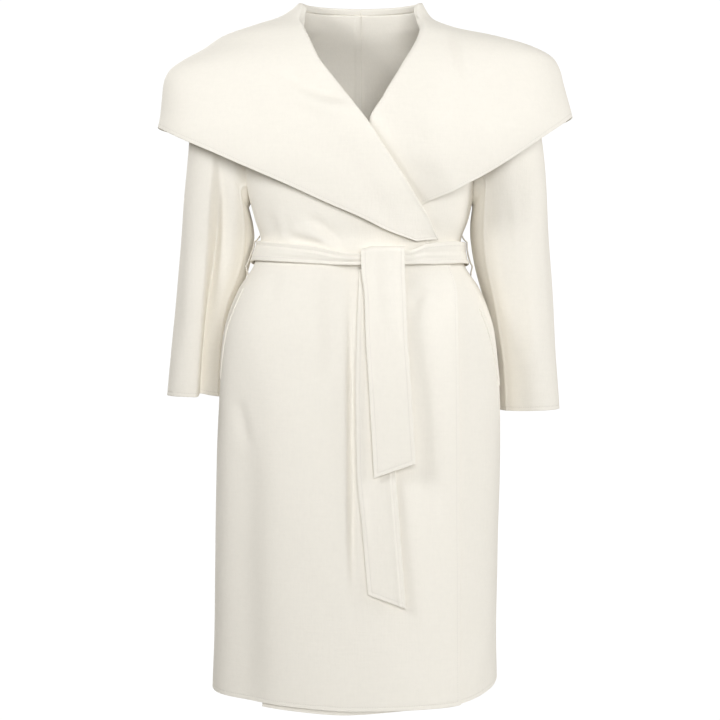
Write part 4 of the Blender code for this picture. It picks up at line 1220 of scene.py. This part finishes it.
def wool_material():
    material = bpy.data.materials.new("ivory_double_faced_wool")
    material.use_nodes = True
    nodes = material.node_tree.nodes
    link = material.node_tree.links.new
    shader = nodes["Principled BSDF"]
    set_inputs(shader, WOOL)
    where = nodes.new("ShaderNodeTexCoord")

    def noise(scale, detail, stretch=(1, 1, 1), roughness=0.5):
        mapping = nodes.new("ShaderNodeMapping")
        set_inputs(mapping, {"Scale": stretch})
        link(where.outputs["Object"], mapping.inputs["Vector"])
        texture = nodes.new("ShaderNodeTexNoise")
        set_inputs(texture, {"Scale": scale, "Detail": detail, "Roughness": roughness})
        link(mapping.outputs["Vector"], texture.inputs["Vector"])
        return texture.outputs["Fac"]

    def attribute(name):
        node = nodes.new("ShaderNodeAttribute")
        node.attribute_name = name
        return node.outputs["Fac"]

    def maths(operation, *values):
        node = nodes.new("ShaderNodeMath")
        node.operation = operation
        for value, socket in zip(values, node.inputs):
            if isinstance(value, (int, float)):
                socket.default_value = value
            else:
                link(value, socket)
        return node.outputs[0]

    def blend(share, colour, other):
        """`colour` with this share of the fixed colour `other`."""
        node = nodes.new("ShaderNodeMix")
        node.data_type = "RGBA"
        link(share, node.inputs["Factor"])
        link(colour, node.inputs[6])
        node.inputs[7].default_value = (*other, 1)
        return node.outputs[2]

    def layered(*parts):
        """The sum of several layers, each with its weight."""
        (first, first_weight), *others = parts
        total = maths("MULTIPLY", first, first_weight)
        for layer, weight in others:
            total = maths("MULTIPLY_ADD", layer, weight, total)
        return total

    nap = noise(900, 5, (1, 1, 0.4), 0.65)
    felt = noise(190, 4, (1, 1, 0.8), 0.55)
    cloud = noise(14, 3)
    off_line = maths("ABSOLUTE", maths("SUBTRACT", attribute("edge"), EDGE_STITCH))
    phase = maths("FRACT", maths("DIVIDE", attribute("run"), STITCH))
    between = maths("LESS_THAN", maths("ABSOLUTE", maths("SUBTRACT", phase, 0.5)), STITCH_SHARE / 2)
    stitch = maths("MULTIPLY", maths("LESS_THAN", off_line, THREAD_HALF), between)
    threads = maths("ADD", noise(430, 2, (1, 1, 0.10)), noise(430, 2, (0.10, 0.10, 1)))
    height = layered((felt, 0.7), (nap, 0.5), (threads, 0.8), (stitch, -0.7))
    bump = nodes.new("ShaderNodeBump")
    set_inputs(bump, {"Strength": 0.55, "Distance": 0.00035})
    link(height, bump.inputs["Height"])
    link(bump.outputs["Normal"], shader.inputs["Normal"])
    tone = layered((nap, 0.3), (felt, 0.3), (threads, 0.2))
    ramp_node = nodes.new("ShaderNodeValToRGB")
    for element, (place, shade) in zip(ramp_node.color_ramp.elements, ((0.30, 0.955), (0.62, 1))):
        element.position = place
        element.color = (*[c * shade for c in IVORY], 1)
    link(tone, ramp_node.inputs["Fac"])
    warm = [c * shade for c, shade in zip(IVORY, CLOUD_SHADE)]
    clouded = blend(maths("MULTIPLY", cloud, 0.10), ramp_node.outputs["Color"], warm)
    link(blend(stitch, clouded, THREAD), shader.inputs["Base Color"])
    return material


# ---- studio


def studio():
    scene = bpy.context.scene
    scene.view_settings.view_transform = "Standard"
    scene.view_settings.look = "None"
    camera = bpy.data.cameras.new("camera")
    camera.lens = CAMERA_LENS
    camera.sensor_width = 36.0
    camera.shift_y = CAMERA_SHIFT
    holder = placed("camera", camera)
    holder.location = CAMERA_AT
    holder.rotation_euler = (math.pi / 2, 0, 0)
    scene.camera = holder

    world = bpy.data.worlds.new("studio")
    scene.world = world
    world.use_nodes = True
    tree = world.node_tree
    sky = tree.nodes["Background"]
    set_inputs(sky, {"Color": (*AMBIENT_COLOUR, 1), "Strength": AMBIENT})
    seen = tree.nodes.new("ShaderNodeBackground")
    set_inputs(seen, {"Color": (1, 1, 1, 1), "Strength": BACKGROUND})
    path = tree.nodes.new("ShaderNodeLightPath")
    mix = tree.nodes.new("ShaderNodeMixShader")
    tree.links.new(path.outputs["Is Camera Ray"], mix.inputs[0])
    tree.links.new(sky.outputs[0], mix.inputs[1])
    tree.links.new(seen.outputs[0], mix.inputs[2])
    tree.links.new(mix.outputs[0], tree.nodes["World Output"].inputs["Surface"])

    for lamp in LAMPS:
        light = bpy.data.lights.new(lamp.name, "AREA")
        light.shape = "RECTANGLE"
        light.size = lamp.width
        light.size_y = lamp.height
        light.energy = lamp.power
        light.spread = math.radians(lamp.spread)
        light.color = lamp.colour
        stand = placed(lamp.name, light)
        stand.location = lamp.place
        aim = Vector(lamp.aim) - Vector(lamp.place)
        stand.rotation_euler = aim.to_track_quat("-Z", "Y").to_euler()

    turns = np.linspace(0, 2 * math.pi, 96, endpoint=False)
    rim = [(FLOOR_RADIUS * math.cos(turn), FLOOR_RADIUS * math.sin(turn), FLOOR) for turn in turns]
    mesh = bpy.data.meshes.new("floor")
    mesh.from_pydata(rim, [], [tuple(range(len(rim)))])
    pale = bpy.data.materials.new("pale_floor")
    pale.use_nodes = True
    shader = pale.node_tree.nodes["Principled BSDF"]
    set_inputs(shader, {"Base Color": (*PALE, 1), "Roughness": 0.9})
    mesh.materials.append(pale)
    placed("floor", mesh)


# ---- build

WOOL_MATERIAL = wool_material()


def main():
    studio()
    for side, name, table, seam, sleeve_creases, welt_line in (
        (1, "left", SLEEVE_LEFT, SEAM_LEFT, SLEEVE_LEFT_CREASES, WELT_LEFT),
        (-1, "right", SLEEVE_RIGHT, SEAM_RIGHT, SLEEVE_RIGHT_CREASES, WELT_RIGHT),
    ):
        back = back_cloth(f"back_{name}", side)
        top = sleeve_cloth(f"sleeve_top_{name}", table, side, seam, TOP_GRID, sleeve_creases)
        under = sleeve_cloth(f"sleeve_under_{name}", table, side, seam, UNDER_GRID, sleeve_creases)
        welt = welt_cloth(f"pocket_welt_{name}", welt_line, side)
        loop = loop_cloth(f"belt_loop_{name}", side)
    left = front_cloth("front_left", 1, UNDERLAP_EDGE, LEFT_GRID, flat_lift, UNDERLAP_DROP)
    right = front_cloth("front_right", -1, LAP_EDGE, RIGHT_GRID, lap_lift, 0.0)
    under = collar_cloth("collar_left", RIBS_LEFT, flat_lift, COLLAR_LEFT_GRID, HIDDEN_RIBS)
    over = collar_cloth("collar_right", RIBS_RIGHT, lap_lift, COLLAR_RIGHT_GRID, 0)
    belt = belt_cloth()
    front_end = end_front_cloth()
    back_end = end_back_cloth()


main()
